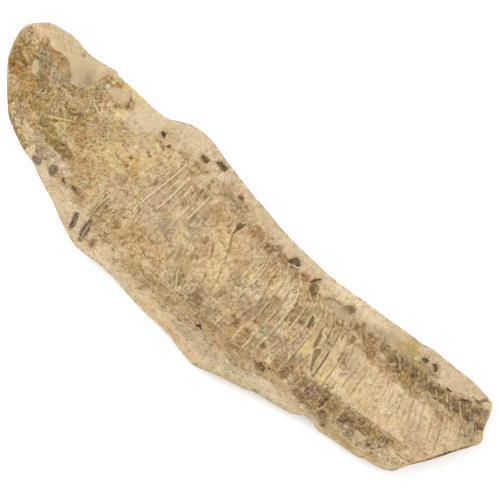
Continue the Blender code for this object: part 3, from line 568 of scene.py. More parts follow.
    ("bark", (150, 33, 9, 3, 0.4)),
    ("tan", (184, 32, 13, 3, 0.4, -5), (-28, -6, 9, 5, 0.35), (-36, 24, 8, 12, 0.25),
        (-84, -38, 16, 7, 0.4), (-91, -30, 5, 4, 0.35), (20, -40, 20, 4, 0.35)),
    ("mauve", (110, 0, 4, 8, 0.3, 10), (196, 0, 8, 6, 0.3)),
    ("yellow", (90, -2, 5, 7, 0.6, 25), (114, -8, 4, 7, 0.5), (150, -3, 26, 6, 0.25, 3)),
    ("mauve", (126, 8, 5, 9, 0.3, 10)), ("bright stone", (150, 8, 16, 9, 0.3), (172, 11, 7, 9, 0.45, 20)),
    ("pink", (156, 1, 12, 6, 0.3), (212, 0, 8, 10, 0.35)),
    ("grey", (90, -12.5, 5, 4, 0.5), (207, -4, 6, 4, 0.25)), ("ochre", (97, -12, 4.5, 6, 0.5, 20)),
    ("cream", (76, 3, 8, 9, 0.35), (50, 2, 5, 6, 0.3), (89, -15, 5, 6, 0.35), (8, -13, 5, 4, 0.4)),
    ("tan", (128, 14, 12, 9, 0.25)),
]

# Pieces of bone and shell with a crisp edge: colour, rise above the face, strength, closed outlines
PIECES = [
    ("umber", 0.4, 0.7, [
        (89.6, 40.6), (92.4, 44.6), (95.6, 46.6), (98.8, 45.8), (100.6, 43), (98, 42.4), (95, 43.4),
        (92.2, 41)]),
    ("pinkbrown", 0.3, 0.4, [(-43, 47), (-38, 53), (-34, 55), (-32.4, 52), (-36, 46), (-41, 43.4)]),
    ("brown", 0.3, 0.6,
        [(-181.6, -2), (-178, -0.6), (-174.6, -2.4), (-174.2, -6), (-177.6, -8.8), (-181.6, -7)]),
    ("bone", 0.2, 0.5, [
        (-158, 44.6), (-156, 50.6), (-150, 54), (-143.4, 55.6), (-139.8, 53), (-141.4, 48), (-145, 43.8),
        (-152, 43)]),
    ("bone", 0.25, 0.7,
        [(-216.5, 24.5), (-213, 27), (-208.4, 22.5), (-206.8, 16.6), (-209.4, 16), (-213, 19.6)]),
    ("black", 0.7, 1.0,
        [(-106.3, 49.4), (-104.5, 50.6), (-102, 50.2), (-100.6, 48.4), (-101.8, 46.6), (-104.4, 47.4)]),
    ("dark", 0.5, 0.95, [(-96, 44.4), (-94, 46), (-92.6, 45.4), (-92.2, 43.6), (-94, 42.4)],
        [(161.8, 51.2), (163.6, 53.6), (166, 54.8), (168, 53.4), (167.4, 51), (164.4, 50.6)]),
    ("dark", 0.6, 1.0, [
        (-60.4, 59.6), (-57, 61), (-55.6, 62.8), (-48.4, 62.4), (-48, 58.8), (-51, 57.6), (-55, 58.6),
        (-59, 59.2)], [
        (57.8, 37.6), (58, 41), (60.4, 44.2), (63.4, 46.4), (64, 45.4), (61.8, 42.8), (60.4, 40.6),
        (60, 38.2)],
        [(170.6, 54.4), (174, 56), (176.4, 54.4), (178.2, 50.8), (176.6, 50), (174.6, 52.4), (172.4, 53)]),
    ("umber", 0.5, 1.0, [(-72, 56.2), (-66.4, 58), (-63.2, 57.4), (-62.8, 54), (-66, 52.8), (-69, 54.4)],
        [(-28.6, 50.8), (-26.4, 53.2), (-23.6, 53.4), (-22.8, 50.6), (-25, 49.6)], [
        (67.6, -36.8), (69.4, -35), (71, -32.8), (73, -34.6), (75, -33.8), (76.8, -35.4), (76.4, -38.4),
        (72, -37.6), (68.6, -38.2)]),
    ("dark olive", -0.6, 0.95,
        [(-13.8, 36.2), (-11, 36.8), (-9, 38.6), (-9.2, 33.4), (-11.8, 26.2), (-12.8, 31)]),
    ("black", 0.9, 0.95, [
        (33.8, 40.2), (36, 43.6), (38.8, 46.2), (41, 45), (43.8, 43), (43.4, 40.6), (40, 40.2),
        (36, 38.4)]),
    ("umber", 0.4, 0.95, [
        (59.4, 37), (61.6, 40), (64.4, 40), (66.6, 37.4), (68.4, 33.4), (67.6, 30.4), (64.4, 31.4),
        (60.8, 33.8)]),
    ("moss", -0.4, 0.75,
        [(110, 29.2), (112, 30), (114.6, 28.8), (115, 26), (113, 22.4), (111.6, 20.4), (111.4, 24)]),
    ("dark", 0.4, 1.0, [(77, -32.8), (78.6, -31.8), (81, -32), (80, -33.2), (78, -33.6)],
        [(-140.2, -29), (-138, -28), (-136.4, -29.4), (-133.6, -30.8), (-137.6, -31.2)]),
    ("black", 0.5, 1.0,
        [(13.2, -45.6), (14.8, -43.4), (16.6, -43), (20.4, -45.6), (17, -45), (14.8, -46)]),
    ("charcoal", 0.5, 0.82, [
        (-152.4, -28), (-151.6, -25.6), (-149, -24.8), (-146.4, -26), (-145.6, -28.8), (-147, -33.2),
        (-149.4, -33.8), (-151, -31)]),
    ("charcoal", 0.5, 0.85, [
        (-168.6, -31), (-166.6, -33.4), (-163, -34.6), (-159.6, -33.6), (-159, -31), (-161.6, -28.6),
        (-165, -29.6)], [
        (-114.4, -41.6), (-111.6, -40.8), (-110, -44), (-107.4, -51), (-108.4, -54.4), (-110.8, -54),
        (-112.8, -47)]),
    ("plum", 0.4, 0.8,
        [(-171.6, -23), (-167, -20.8), (-163, -23), (-162, -27.4), (-165.6, -29), (-170, -26.6)]),
    ("black", 0.4, 0.85,
        [(-129.8, -28.4), (-127, -27.2), (-124, -28.4), (-124.8, -30.2), (-127.6, -30.4)]),
    ("brown", 0.3, 0.95, [(-122.8, -29), (-121, -28.2), (-119.6, -30), (-121.6, -31)],
        [(-118.8, -30), (-117.4, -28.4), (-116.6, -30.2), (-117.6, -31)]),
    ("charcoal", 0.4, 0.8, [
        (-103, -39), (-100.4, -38.4), (-98, -43.4), (-96, -48.6), (-96.4, -56.8), (-98.8, -57),
        (-100.6, -52), (-102.6, -45)]),
    ("umber", 0.4, 0.8, [(-90.6, -50), (-88, -49), (-86, -51.4), (-87, -54.4), (-89.4, -53.6)]),
    ("umber", 0.2, 0.55, [(141.6, 38), (144.4, 40.6), (147.6, 39), (146, 36.6), (143, 36)]),
    ("umber", 0.2, 0.3, [(158, 40), (161.4, 42.4), (165.6, 41), (164, 38.4), (160, 37.6)]),
    ("umber", 0.2, 0.6, [(183.6, 41), (187, 44.4), (191.4, 43.6), (191, 40.6), (186.4, 39.8)],
        [(216.4, 42.6), (219, 44), (221.4, 41), (220.4, 37.6), (217.6, 39)],
        [(228, 43.4), (230.6, 44.6), (232.4, 42), (231, 38.8), (229, 40)]),
    ("umber", 0.2, 0.65, [(203.6, 42), (206, 44), (209, 42), (208, 39), (204.6, 39)]),
    ("dark", 0.5, 1.0, [(191, 46.8), (193, 47.8), (196.6, 48), (198.6, 49.2), (196.4, 46.8), (193.4, 46)]),
    ("black", 0.6, 0.95,
        [(204.6, 47.8), (207.6, 49.8), (211, 51.6), (213.8, 51.4), (211.4, 50), (208.6, 48), (206, 47)]),
    ("dark", 0.3, 0.9, [(76, 19.6), (78.6, 20.4), (80.6, 16), (81.4, 10.8), (79.6, 10), (77.4, 14)]),
    ("dark", 0.2, 0.85, [(71.4, 10.4), (73.6, 11.6), (75, 10.4), (73.6, 8.6)]),
    ("brown", -0.6, 0.75,
        [(88, 19), (90, 16), (93, 12), (94.8, 6), (94.4, 0.4), (92.4, 2.6), (90.4, 9), (88.4, 14)],
        [(95, 2), (99, 5.6), (100.6, 2), (101.6, -5), (104.6, -13.4), (102.4, -12), (99, -6), (96.4, -1)]),
    ("yellow", 0.3, 0.55, [(88, 1), (94, 2), (97.4, -5), (94, -3.4), (92.4, -10), (90, -6)]),
    ("brown", 0.3, 0.85, [(108.4, 40.6), (110.6, 43), (113.6, 43.2), (111.6, 41.4), (110.4, 40)]),
    ("brown", 0.4, 0.95, [(118, 38), (119.6, 39), (122, 38.6), (121, 37.4), (119, 37.2)]),
    ("brown", 0.4, 0.75, [(155.6, 40), (157, 42.4), (159.6, 42.4), (158.4, 39.6)]),
]

PALE_BONE = ("pink", "bone", "cream", "yellow")
PALE_GRAIN, DARK_GRAIN = 0.5, 2.1  # how rough pale and dark pieces look

# Lines on the face: colour, width, rise, strength, then the points of each line
LINES = [
    # along the broken tail end: partly the darker stone of the break, partly painted shade of its wall
    ("umber", 3.8, -0.3, 0.95,
        [(236, 26.6), (231.6, 19), (226.4, 9.6), (221, 0), (216, -8.4), (211.6, -15)]),
    ("pale", 0.9, 0.5, 0.78,
        [(-74.8, 43.6), (-74.3, 38), (-75, 31), (-76.5, 22), (-78.4, 12), (-80, 3), (-80.6, -4)]),
    ("pale", 0.95, 0.5, 0.72, [(-65.3, 37), (-65.8, 30), (-66.1, 20), (-67.1, 10), (-68.6, 1)]),
    ("pale", 1.0, 0.4, 0.62, [(-44, 36), (-44.4, 25), (-45.2, 12)]),
    ("pale", 0.8, 0.3, 0.74, [(-89.2, 53.6), (-88, 50), (-86.6, 46.6)]),
    ("brown", 0.9, -0.3, 0.55, [(-88.6, 45), (-87.6, 38), (-86.2, 33)],
        [(-184.6, 12), (-182, 8), (-180.6, 3.6)]),
    ("pale", 0.9, 0.3, 0.55, [(-80.6, 31), (-79.6, 25)], [(-69.6, 31), (-72, 22)],
        [(-54.4, 31), (-53.6, 25)], [(75.8, 20), (77.6, 10)], [(150, 36), (146, 31.4)]),
    ("pale", 1.6, 0.3, 0.55, [(-60, 33), (-58.6, 23)]),
    ("dark", 1.4, -0.2, 0.55, [(-51.8, 37), (-50.4, 30), (-50.2, 24)]),
    ("pale", 0.8, 0.2, 0.46, [(-50.6, 20), (-51.6, 6)]),
    ("pale", 0.8, 0.2, 0.64, [(-81.4, -3), (-81, -18)]),
    ("pale", 0.8, 0.2, 0.55, [(-75.4, -8), (-74.6, -18)], [(221, 57), (224, 54.6), (226.4, 52.8)],
        [(-186, 12.6), (-183.6, 9)]),
    ("pale", 0.9, 0.2, 0.55, [(-27, -2), (-27.6, -10)], [(221, 60.4), (226.4, 55.6)],
        [(194.4, 45), (199.4, 38.6)], [(-115, -40.6), (-110.4, -39.4), (-108.8, -42)]),
    ("pale", 1.0, 0.3, 0.6, [(-25.6, -19), (-23, -26), (-17, -34)],
        [(206, 45.6), (210.4, 41.8), (215, 37), (219.4, 34)]),
    ("dark", 1.4, 0.2, 0.74, [(-62, -38), (-57, -38.6)], [(-29.6, -40.6), (-25, -39.8), (-21.4, -38.4)]),
    ("dark", 0.9, 0.2, 0.55, [(-39, -39.4), (-35, -39.6)]),
    ("brown", 1.4, -0.6, 0.55, [(-11.4, 26), (-9, 21.6), (-6, 16), (-4, 10.6), (-3, 7)]),
    ("brown", 1.2, -0.5, 0.51, [(-19, 12.6), (-15.6, 8), (-12.8, 3), (-12.2, -1)]),
    ("brown", 0.9, -0.3, 0.37, [(0.4, 4), (1.6, -3), (3, -9)]),
    ("white", 0.8, 0.2, 0.78, [(35.4, 37.6), (39, 38.8), (44.4, 40.6)]),
    ("pale", 0.9, 0.3, 0.45, [(36.4, 36.6), (41.4, 30.4)]),
    ("brown", 1.1, 0.2, 0.65, [(36.6, 41.4), (40.6, 43)]),
    ("mauve", 0.9, 0.2, 0.45, [(38.6, 44.8), (42.2, 42.4)]),
    ("brown", 1.0, 0.2, 0.5, [(61.8, 38.4), (65.4, 33)]),
    ("pale", 0.8, 0.2, 0.45, [(64.2, 39), (67.6, 33.8)], [(224, 42.6), (228.8, 35.4)],
        [(148.6, 41), (153.4, 35)], [(211.6, 48.4), (215.4, 43.6)], [(186.4, 46.6), (189, 44)]),
    ("dark", 1.3, 0.2, 0.7, [(60.6, 37.6), (63, 33.4), (66, 31.6)]),
    ("maroon", 1.8, 0.2, 0.6, [(94, 43.6), (98.8, 43.9)]),
    ("mauve", 1.0, 0.2, 0.45, [(70.4, -35.8), (75.4, -36.6)]),
    ("dark", 1.0, 0.2, 0.8, [(-11.4, 37), (-10.4, 32), (-11.4, 28)]),
    ("pale", 0.9, 0.3, 0.69, [(49, 37), (55.4, 31)]),
    ("pale", 0.9, 0.3, 0.74, [(62.4, 31.8), (66.6, 28.6)],
        [(-162, 34), (-157, 30), (-152, 27.8), (-147.6, 27.4), (-145, 29.6)]),
    ("pale", 0.9, 0.3, 0.6, [(66.8, 26), (69.2, 16), (69.4, 4)], [(60.4, 7), (60.8, -4), (60.6, -12)]),
    ("pale", 0.8, 0.3, 0.55, [(81, 27), (83.8, 14), (84.4, 0), (84.6, -8)]),
    ("pale", 0.8, 0.3, 0.5, [(86.4, 24), (90, 10), (93, -2), (93.4, -9)]),
    ("dark", 0.8, -0.3, 0.5, [(51, 24), (52.2, 14), (52.8, 4)]),
    ("dark", 0.8, -0.3, 0.45, [(85.6, 2), (86, -11)], [(23.6, 25), (23.8, 12)]),
    ("moss", 0.8, -0.3, 0.35, [(129, 12), (130.4, -6)]),
    ("moss", 0.8, -0.3, 0.4, [(136.6, 16), (138.6, -6)], [(144, 24), (147.4, 6)]),
    ("moss", 0.9, -0.3, 0.45, [(154, 24), (158.6, 10)], [(169, 23), (175.6, 6)], [(178.6, 23), (186, 7)],
        [(188, 24), (196.6, 7)]),
    ("moss", 0.9, -0.3, 0.4, [(161.6, 20), (166.4, 5)], [(198.6, 22), (206.4, 6)], [(209, 20), (215, 5)]),
    ("pale", 0.8, 0.2, 0.5, [(216.4, 47.4), (221.4, 41)], [(177.6, -10.6), (177.4, -17)],
        [(186, 41.2), (191, 36.4)], [(139.4, 41.6), (142.6, 37)], [(157.6, 44), (161, 39.4)],
        [(166.6, 43.4), (171, 37.4)], [(176.4, 43.6), (180.4, 38)]),
    ("pale", 0.8, 0.2, 0.4, [(220.6, 57), (225.4, 59.8)]),
    ("dark", 3.2, 0.3, 0.75, [(222.6, 49.4), (225.6, 47.4)]),
    ("dark", 2.6, 0.3, 0.7, [(230.4, 42.4), (232, 40)]),
    ("dark", 2.8, 0.3, 0.7, [(217.4, 41.6), (220.4, 38.6)]),
    ("umber", 2.0, 0.3, 0.65, [(217.6, 53), (221.4, 54.4)]),
    ("umber", 2.4, 0.2, 0.6, [(205.4, 42), (208.6, 40)], [(162, 38.6), (166, 40.6)]),
    ("umber", 2.6, 0.2, 0.6, [(151, 37.4), (154, 39.6)]),
    ("umber", 2.2, 0.2, 0.6, [(174, 41), (176.4, 37.6)]),
    ("rust", 1.7, 0.2, 0.55, [(-99.6, 42.4), (-97.4, 40.4)]),
    ("umber", 1.1, 0.2, 0.5, [(158.6, 53), (162, 55.4), (165.6, 56.6), (169.4, 54.6)],
        [(169.4, 54.8), (173, 57.2), (177, 56), (179.6, 52.6), (180.6, 49.4)]),
    ("umber", 2.0, 0.2, 0.45, [(160, 51), (164, 50), (169, 51)]),
    ("pale", 1.4, 0.2, 0.5, [(-101, 49.4), (-98.6, 47.8)]),
    ("rust", 1.7, 0.2, 0.5, [(-120.4, 23.4), (-117.6, 22.6)]),
    ("brown", 1.2, -0.2, 0.64, [(74, 33), (75.4, 36), (79, 39.6), (84, 40.6), (88, 41.4)]),
    ("dark", 1.7, 0.3, 0.64, [(90.4, 42.6), (93.6, 45.4), (96.8, 46.2), (100, 43)]),
    ("dark", 1.1, 0.2, 0.55, [(86.6, 47), (90, 48)]),
    ("dark", 1.6, 0.2, 0.55, [(89.4, 39.4), (91, 38.8)], [(156, -32.6), (159, -32), (161, -29)]),
    ("dark", 0.9, 0.2, 0.64, [(80.4, 40), (83.6, 39.2)]),
    ("dark", 0.9, -0.6, 0.74, [(104.8, 8), (106, 1), (107, -6), (108, -15)]),
    ("grey", 1.1, 0.1, 0.46, [(121, 46), (126, 50), (132, 53.4)], [(126, 45), (131, 49), (135.6, 55)]),
    ("brown", 1.0, 0.1, 0.55, [(200, 49), (204, 51), (208, 52.4)]),
    ("brown", 1.2, 0.1, 0.55, [(176, 49), (180, 49.4), (183.4, 49.4)]),
    # painted shade under the ledge at the tail's upper corner
    ("brown", 2.2, -0.5, 0.55,
        [(212, 55.6), (216, 55), (218.6, 55.8), (220, 58.6), (222.6, 61.2), (226, 62)]),
    ("dark", 1.2, -0.2, 0.6, [(149.6, 37.6), (152.4, 33), (155.6, 30.4)]),
    ("dark", 1.4, 0.2, 0.64, [(194, -9), (197, -8), (202, -7.8)]),
    ("brown", 1.0, -0.3, 0.6, [(195, -17), (203, -16.4), (211.6, -13.6)]),
    ("dark", 1.4, -0.2, 0.74, [(204.6, -18.6), (206, -19.4)]),
    ("dark", 1.1, -0.2, 0.55, [(194.6, -24), (195, -26)], [(-198.6, -1.6), (-196, -2.4), (-193, -4)]),
    ("brown", 1.0, -0.3, 0.46, [(182, -9.4), (190, -8.6)]),
    ("dark", 1.2, 0.1, 0.55, [(61, -44), (62.4, -44)], [(68.4, -44), (70.4, -43.8)]),
    ("dark", 1.3, 0.1, 0.64, [(74.6, -41), (75, -43.4)]),
    ("dark", 1.1, 0.1, 0.55, [(84.4, -34.6), (84.8, -36.6)]),
    ("brown", 1.6, 0.1, 0.55, [(5.6, -50), (10, -50.2)]),
    ("white", 1.4, 0.2, 0.55, [(48.6, -50.4), (53, -50.8)]),
    ("dark", 1.2, -0.3, 0.74, [(31.6, -69), (36, -68)]),
    ("white", 0.8, 0.3, 0.55, [(-182.4, -2), (-177, 1), (-168, 6), (-160, 10.4)]),
    ("umber", 1.8, -0.3, 0.9, [(-175.6, 18.4), (-174.4, 15), (-171.4, 13)]),
    ("umber", 1.6, -0.2, 0.85, [(-171, 12.8), (-166.6, 13.2), (-163.4, 15.6)]),
    ("dark", 1.1, -0.3, 0.55, [(-182, -5), (-180, -8.6), (-176, -8.6), (-174, -6)]),
    ("brown", 3.0, -0.3, 0.5, [(-232.6, 25), (-228.6, 22.6), (-221, 19.4)]),
    ("umber", 2.2, -0.3, 0.5, [(-222.4, 18), (-219.4, 18.6), (-215.6, 16.4)]),
    ("dark", 0.9, -0.2, 0.64, [(-236, 31.4), (-231, 30.4)]),
    ("dark", 0.9, -0.3, 0.55, [(-236.6, 44.6), (-233.4, 42)]),
    ("brown", 1.0, -0.2, 0.55, [(-222, 42), (-221, 38), (-219, 34)]),
    ("dark", 0.9, -0.2, 0.46, [(-196.6, -21.6), (-191.6, -25.4)]),
    ("dark", 1.0, 0.2, 0.69, [(-160.6, -25.4), (-157.4, -25)]),
    ("dark", 0.8, 0.2, 0.55, [(-143.4, -25), (-140.4, -27)]),
    ("dark", 1.0, 0.2, 0.74, [(-109.6, 10.4), (-106.6, 10.8)]),
    ("dark", 1.0, 0.1, 0.46, [(-104, -2), (-101, -3)]),
    ("dark", 1.0, -0.2, 0.55, [(-186.6, 25), (-183, 24.6)]),
    ("dark", 1.1, -0.3, 0.6, [(-101.6, -18), (-102.6, -26), (-102.4, -34), (-101.4, -42)]),
    ("umber", 1.0, -0.2, 0.4, [(-99.4, -21), (-97.8, -31), (-96.6, -41)]),
    ("umber", 0.9, -0.2, 0.35, [(-105.6, -22), (-104.8, -34)]),
    ("cream", 1.6, 0.3, 0.5, [(24.8, -19), (24.6, -27), (24.4, -35.4)]),
    ("cream", 1.4, 0.2, 0.4, [(33.2, -26), (33, -36)]), ("pink", 1.6, 0.2, 0.45, [(41.6, -24), (42, -36)]),
    ("pale", 1.3, 0.3, 0.6, [(51, -19.6), (52.6, -27), (52, -35)]),
    ("pink", 1.4, 0.2, 0.45, [(60.6, -19), (60.8, -35)]),
    ("cream", 1.4, 0.2, 0.45, [(84.8, -20), (84.8, -32)], [(102, -22), (102, -31)]),
    ("cream", 1.2, 0.2, 0.45, [(109.8, -19), (109.8, -30)]),
    ("pale", 0.9, 0.2, 0.45, [(143, -17), (143, -29)]),
    ("pale", 0.8, 0.2, 0.6, [(201.6, 40.4), (206.6, 35.4)]),
    ("pale", 0.7, 0.2, 0.5, [(157, 35.2), (161.6, 28.6)], [(146.8, 30.8), (151.4, 35.2)],
        [(229, 34), (231, 28)]),
    ("dark", 2.0, 0.2, 0.6, [(155.4, 41.6), (157.4, 40)], [(182, 42), (184.4, 39.6)],
        [(143.8, 39.6), (146.4, 38.4)]),
    ("dark", 2.2, 0.2, 0.6, [(172.4, 42), (175, 41)], [(200.6, 42.6), (202.4, 40)]),
    ("dark", 2.0, 0.2, 0.55, [(165.4, 41.2), (167, 39.4)]),
    ("dark", 1.0, -0.3, 0.55, [(114, 36.8), (118, 33.4), (122.6, 29.8)]),
    # painted shade along the rounded belly edge behind its lowest point
    ("brown", 1.3, -0.2, 0.55, [(46, -66.4), (53, -63.6), (63, -60.4), (76, -56.8), (84, -53.6)]),
    # painted shade at the step in the belly edge near the tail
    ("umber", 1.2, -0.2, 0.5, [(176, -38.2), (178.4, -36.4), (180, -34)]),
    ("pale", 0.9, 0.2, 0.46, [(-103.4, -38), (-102.2, -43)]),
    ("black", 1.1, 0.2, 0.85, [(-113, -42.4), (-112, -47), (-109.6, -53)]),
    ("black", 1.2, 0.2, 0.8, [(-101.6, -41), (-100.6, -47), (-98.4, -54.4)]),
    ("dark", 1.0, 0.2, 0.7, [(-98.4, -42), (-97.4, -48.6)]),
    ("pink", 0.9, 0.2, 0.6, [(-99.8, -43), (-98.6, -50), (-97, -55)]),
    # the top edge of the rear scutes: partly their darker edge, partly painted shade along it
    ("umber", 0.9, -0.3, 0.3,
        [(143, -13.6), (152, -13), (161, -11.8), (170, -10.8), (178, -9.8), (186, -8.9), (193, -8.6)]),
    ("rust", 1.0, -0.1, 0.55, [(-158.4, 53), (-154.4, 54.8), (-150, 56)]),
    ("umber", 1.2, -0.3, 0.65, [(-142, 55), (-139.4, 50), (-137, 45)]),
    ("umber", 1.5, -0.3, 0.6, [(-198.4, -19.4), (-194, -23.4), (-189.6, -26)]),
]

# Smooth parts of the face: middle, half sizes, how smooth and, where it is turned, its turn in degrees
QUIET = [
    (-40, 18, 17, 20, 0.15), (-8, 8, 15, 24, 0.1), (150, 8, 50, 20, 0.25), (205, 8, 20, 18, 0.1),
    (-160, -6, 14, 6, 0.5), (-182, -20, 14, 5, 0.6, -15), (-195, 40, 16, 6, 0.5), (46, -28, 24, 9, 0.3),
    (-72, 4, 12, 12, 0.3), (-112, 26, 20, 16, 0.2), (-130, 44, 16, 10, 0.3), (-182, 45, 16, 12, 0.3),
    (91, 37, 14, 6, 0.1), (-140, -24, 14, 5, 0.4, -8), (135, -2, 12, 12, 0.2),
]

# Bones and hollows of the head: middle, half length, half width, height
HEAD_FORMS = [
    (-203, 26, 18, 15, 1.6),  # skull roof
    (-219, 15, 13, 11, -1.2),  # worn hollow behind the snout
    (-180, 40, 12, 11, -0.8),  # bare window above the skull
    (-170, 14, 9, 8, -1.0),  # eye socket
    (-176, -4, 5, 5, 1.1),  # rounded bone below it
    (-150, 36, 14, 13, 1.0),  # gill cover, upper lobe
    (-140, 6, 22, 17, 0.9),  # gill cover
    (-152, -17, 13, 8, -0.7),  # throat
    (-190, -12, 12, 7, 0.8),  # lower jaw
    (-168, 22, 7, 2.5, 0.5),  # brow over the eye
    (-211, 20, 3.5, 5, 0.7),  # pale cheek plate
    (-198, 26, 4, 4, -0.5),  # dent in the skull roof
    (-147, 48, 9, 4.5, 0.6),  # smooth plate at the top of the gill
    (-143, 39, 2, 6, -0.4),  # seam behind that plate
    (-158, 6, 6, 4, 0.4),  # cheek
    (-163, -24, 5, 4, -0.6),  # hollow and knob of the throat
    (-149, -29, 4, 5, 0.5),
    (-99, -36, 6, 16, -0.5),  # trough of the fin
    (30, -8, 4, 4, 0.5),  # lump and pit in the middle of the trunk
    (13, 14, 3, 3, -0.3),
    (41, 42, 5, 4, 0.4),  # two knobs along the back
    (96, 41, 6, 4, 0.4),
]


def each_mark(marks, shared):
    """Every mark of a list whose entries start with the values that their marks share."""
    for entry in marks:
        for own in entry[shared:]:
            yield *entry[:shared], own


def body_form(x, y):
    """The gentle swell of the fish and the ledge along its margin."""
    middle = (back_margin(x) + belly_margin(x)) / 2
    half = (back_margin(x) - belly_margin(x)) / 2
    swell = np.clip(1 - ((y - middle) / half) ** 2, 0, 1) * BODY_SWELL
    reach = half - np.abs(y - middle) + 1.6 * lumps(x, y, 7, 3) + 0.8 * lumps(x, y, 3, 4)
    return swell + ease(reach, -STEP_WIDTH / 2, STEP_WIDTH) * MARGIN_STEP


def head_forms(x, y):
    """The rounded bones and hollows of the head, and a few along the trunk."""
    total = np.zeros_like(x)
    for cx, cy, long, wide, height in HEAD_FORMS:
        total += height * np.exp(-(((x - cx) / long) ** 2) - ((y - cy) / wide) ** 2)
    return total


def bare_patches(x, y):
    """1 in the windows of bare stone above the skull and under the back."""
    above_skull = 1 - ease(np.hypot((x + 186) / 13, (y - 45) / 13) + 0.12 * lumps(x, y, 6, 151), 0.7, 0.5)
    under_back = 1 - ease(np.hypot((x - 91) / 14, (y - 37.5) / 5.5), 0.7, 0.4)
    return np.maximum(above_skull, under_back)


def fish_share(x, y):
    """1 on the fish and 0 on bare stone, with a ragged edge between."""
    ragged = 2.2 * lumps(x, y, 9, 11) + 1.4 * lumps(x, y, 3.4, 12)
    to_belly = y - belly_margin(x) + 30 * ease(-x, 172, 12) + 6 * ease(x, 85, 15) * ease(-x, -200, 10)
    inside = np.minimum(back_margin(x) - y, to_belly) + ragged
    return ease(inside, -1.2, 2.4) * (1 - bare_patches(x, y))


def liveliness(x, y):
    """How strong the grain is: less on the smooth parts and on bare stone."""
    level = 0.88 + 0.22 * fish_share(x, y) - 0.15 * ease(-x, 150, 20) * (1 - fish_share(x, y))
    for cx, cy, long, wide, smooth, *turn in QUIET:
        level *= 1 - smooth * soft_area(x, y, (cx, cy), (long, wide), sum(turn))
    return level


def edge_offset(place):
    """How far a place is from the nearest edge of a scale column: positive on its tail side."""
    return ((place + 0.5) % 1 - 0.5) * SCALE_WIDTH


def scale_share(x, y):
    """How clearly the edges of the scale columns show."""
    share = ease(x, -95, 60) * ease(y - scute_top(x), -1, 3) * ease(back_margin(x) - y, -1, 4)
    level = 0.3 + 0.42 * ease(x, 5, 25) - 0.47 * ease(x, 112, 24) * (1 - 0.3 * ease(y, 20, 10))
    level *= 1 - 0.5 * ease(-y, 0, 9) * ease(x, 130, 25)
    level *= 1 - 0.65 * ease(y, 24, 10) * ease(-x, -90, 15)
    level *= 1 - 0.5 * ease(y, 24, 10) * ease(x, 96, 10)
    level = np.maximum(level, 0.25 * back_band(x, y)) * (1 - bare_patches(x, y))
    worn = (0.75 + 1.1 * lumps(x, y, 8, 21)).clip(0.1, 1.35)
    return (share * level * worn).clip(0, 1)


def back_band(x, y):
    """1 on the band of small scales along the back."""
    return ease(y - back_margin(x), -17, 5) * ease(x, 112, 16)


def groove_share(x, y):
    """0 where column edges are ridges, 1 towards the tail, where they are grooves but for the back."""
    return ease(x, 82, 14) * (1 - back_band(x, y))


def tiles(x, y):
    """For each tile: the places near it, how far inside it they are, and its colour, size and strength."""
    wx = x + 0.5 * lumps(x, y, 4, 181) + 0.3 * lumps(x, y, 1.7, 182)
    wy = y + 0.5 * lumps(x, y, 4, 183) + 0.3 * lumps(x, y, 1.7, 184)
    for name, (cx, cy, long, wide, strength, *turn) in each_mark(TILES, 1):
        reach = long + wide + 1.5
        near = np.flatnonzero((np.abs(x - cx) < reach) & (np.abs(y - cy) < reach))
        depth = tile_depth(wx[near], wy[near], (cx, cy), (long, wide), sum(turn))
        yield near, depth, name, min(long, wide), strength


def scale_relief(x, y, place):
    """Column edges stand up as ridges in the middle and sink as grooves towards the tail."""
    offset, groove = edge_offset(place), groove_share(x, y)
    ridge = 0.45 * np.exp(-((offset / 0.8) ** 2)) - 0.35 * np.exp(-(((offset - 1.6) / 1.0) ** 2))
    sunk = -0.55 * np.exp(-((offset / 0.8) ** 2)) + 0.2 * np.exp(-(((offset - 1.7) / 1.0) ** 2))
    lapped = 0.25 * (place % 1 - 0.5)
    height = (ridge * (1 - groove) + sunk * groove + lapped) * scale_share(x, y)
    for near, depth, _, size, _ in tiles(x, y):
        height[near] += 0.3 * min(size / 3, 1) * ease(depth, -0.4, 1.0)
    return height


def face_relief(x, y, place):
    """What stands on the body of the fish: scales, ribs, fragments, creases and the rough of the stone."""
    fish = fish_share(x, y)
    height = scale_relief(x, y, place)
    height += fish * (0.4 * rough(x, y, 9, 51) + 0.3 * rough(x, y, 3.2, 61, 2))
    height += (1 - fish) * (0.3 * rough(x, y, 26, 71) + 0.16 * rough(x, y, 5, 75, 3))
    height -= 0.35 * fish * ease(rough(x, y, 5, 77), 0.3, 0.25)
    for _, rise, _, points in each_mark(PIECES, 3):
        depth = outline_depth(x, y, points) + 0.25 * lumps(x, y, 2.2, 81)
        height += rise * ease(depth, -0.4, 1.0)
    for _, width, rise, _, points in each_mark(LINES, 4):
        height += rise * ease(line_place(x, y, points, width)[2], -0.6, 0.9)
    return height


def rim_fall(x, y, inside):
    """The face rolls over into the side, more in some places than in others."""
    reach = RIM_REACH * (1 + 0.35 * lumps(x, y, 30, 91))
    uneven = 0.25 * lumps(x, y, 11, 92) * ease(-inside, -6, 6)
    return RIM_ROLL * np.clip(1 - inside / reach, 0, 1) ** 2 + uneven


# ---------------------------------------------------------------- colours over the face


def linear(name):
    """A palette colour as light."""
    share = np.array(PALETTE[name]) / 255
    return np.array(STONE_SHADE) * np.where(share <= 0.04045, share / 12.92, ((share + 0.055) / 1.055) ** 2.4)


def blend(colour, name, share):
    """The colour with that share of a palette colour laid over it."""
    share = share[:, None]
    return colour * (1 - share) + linear(name) * share


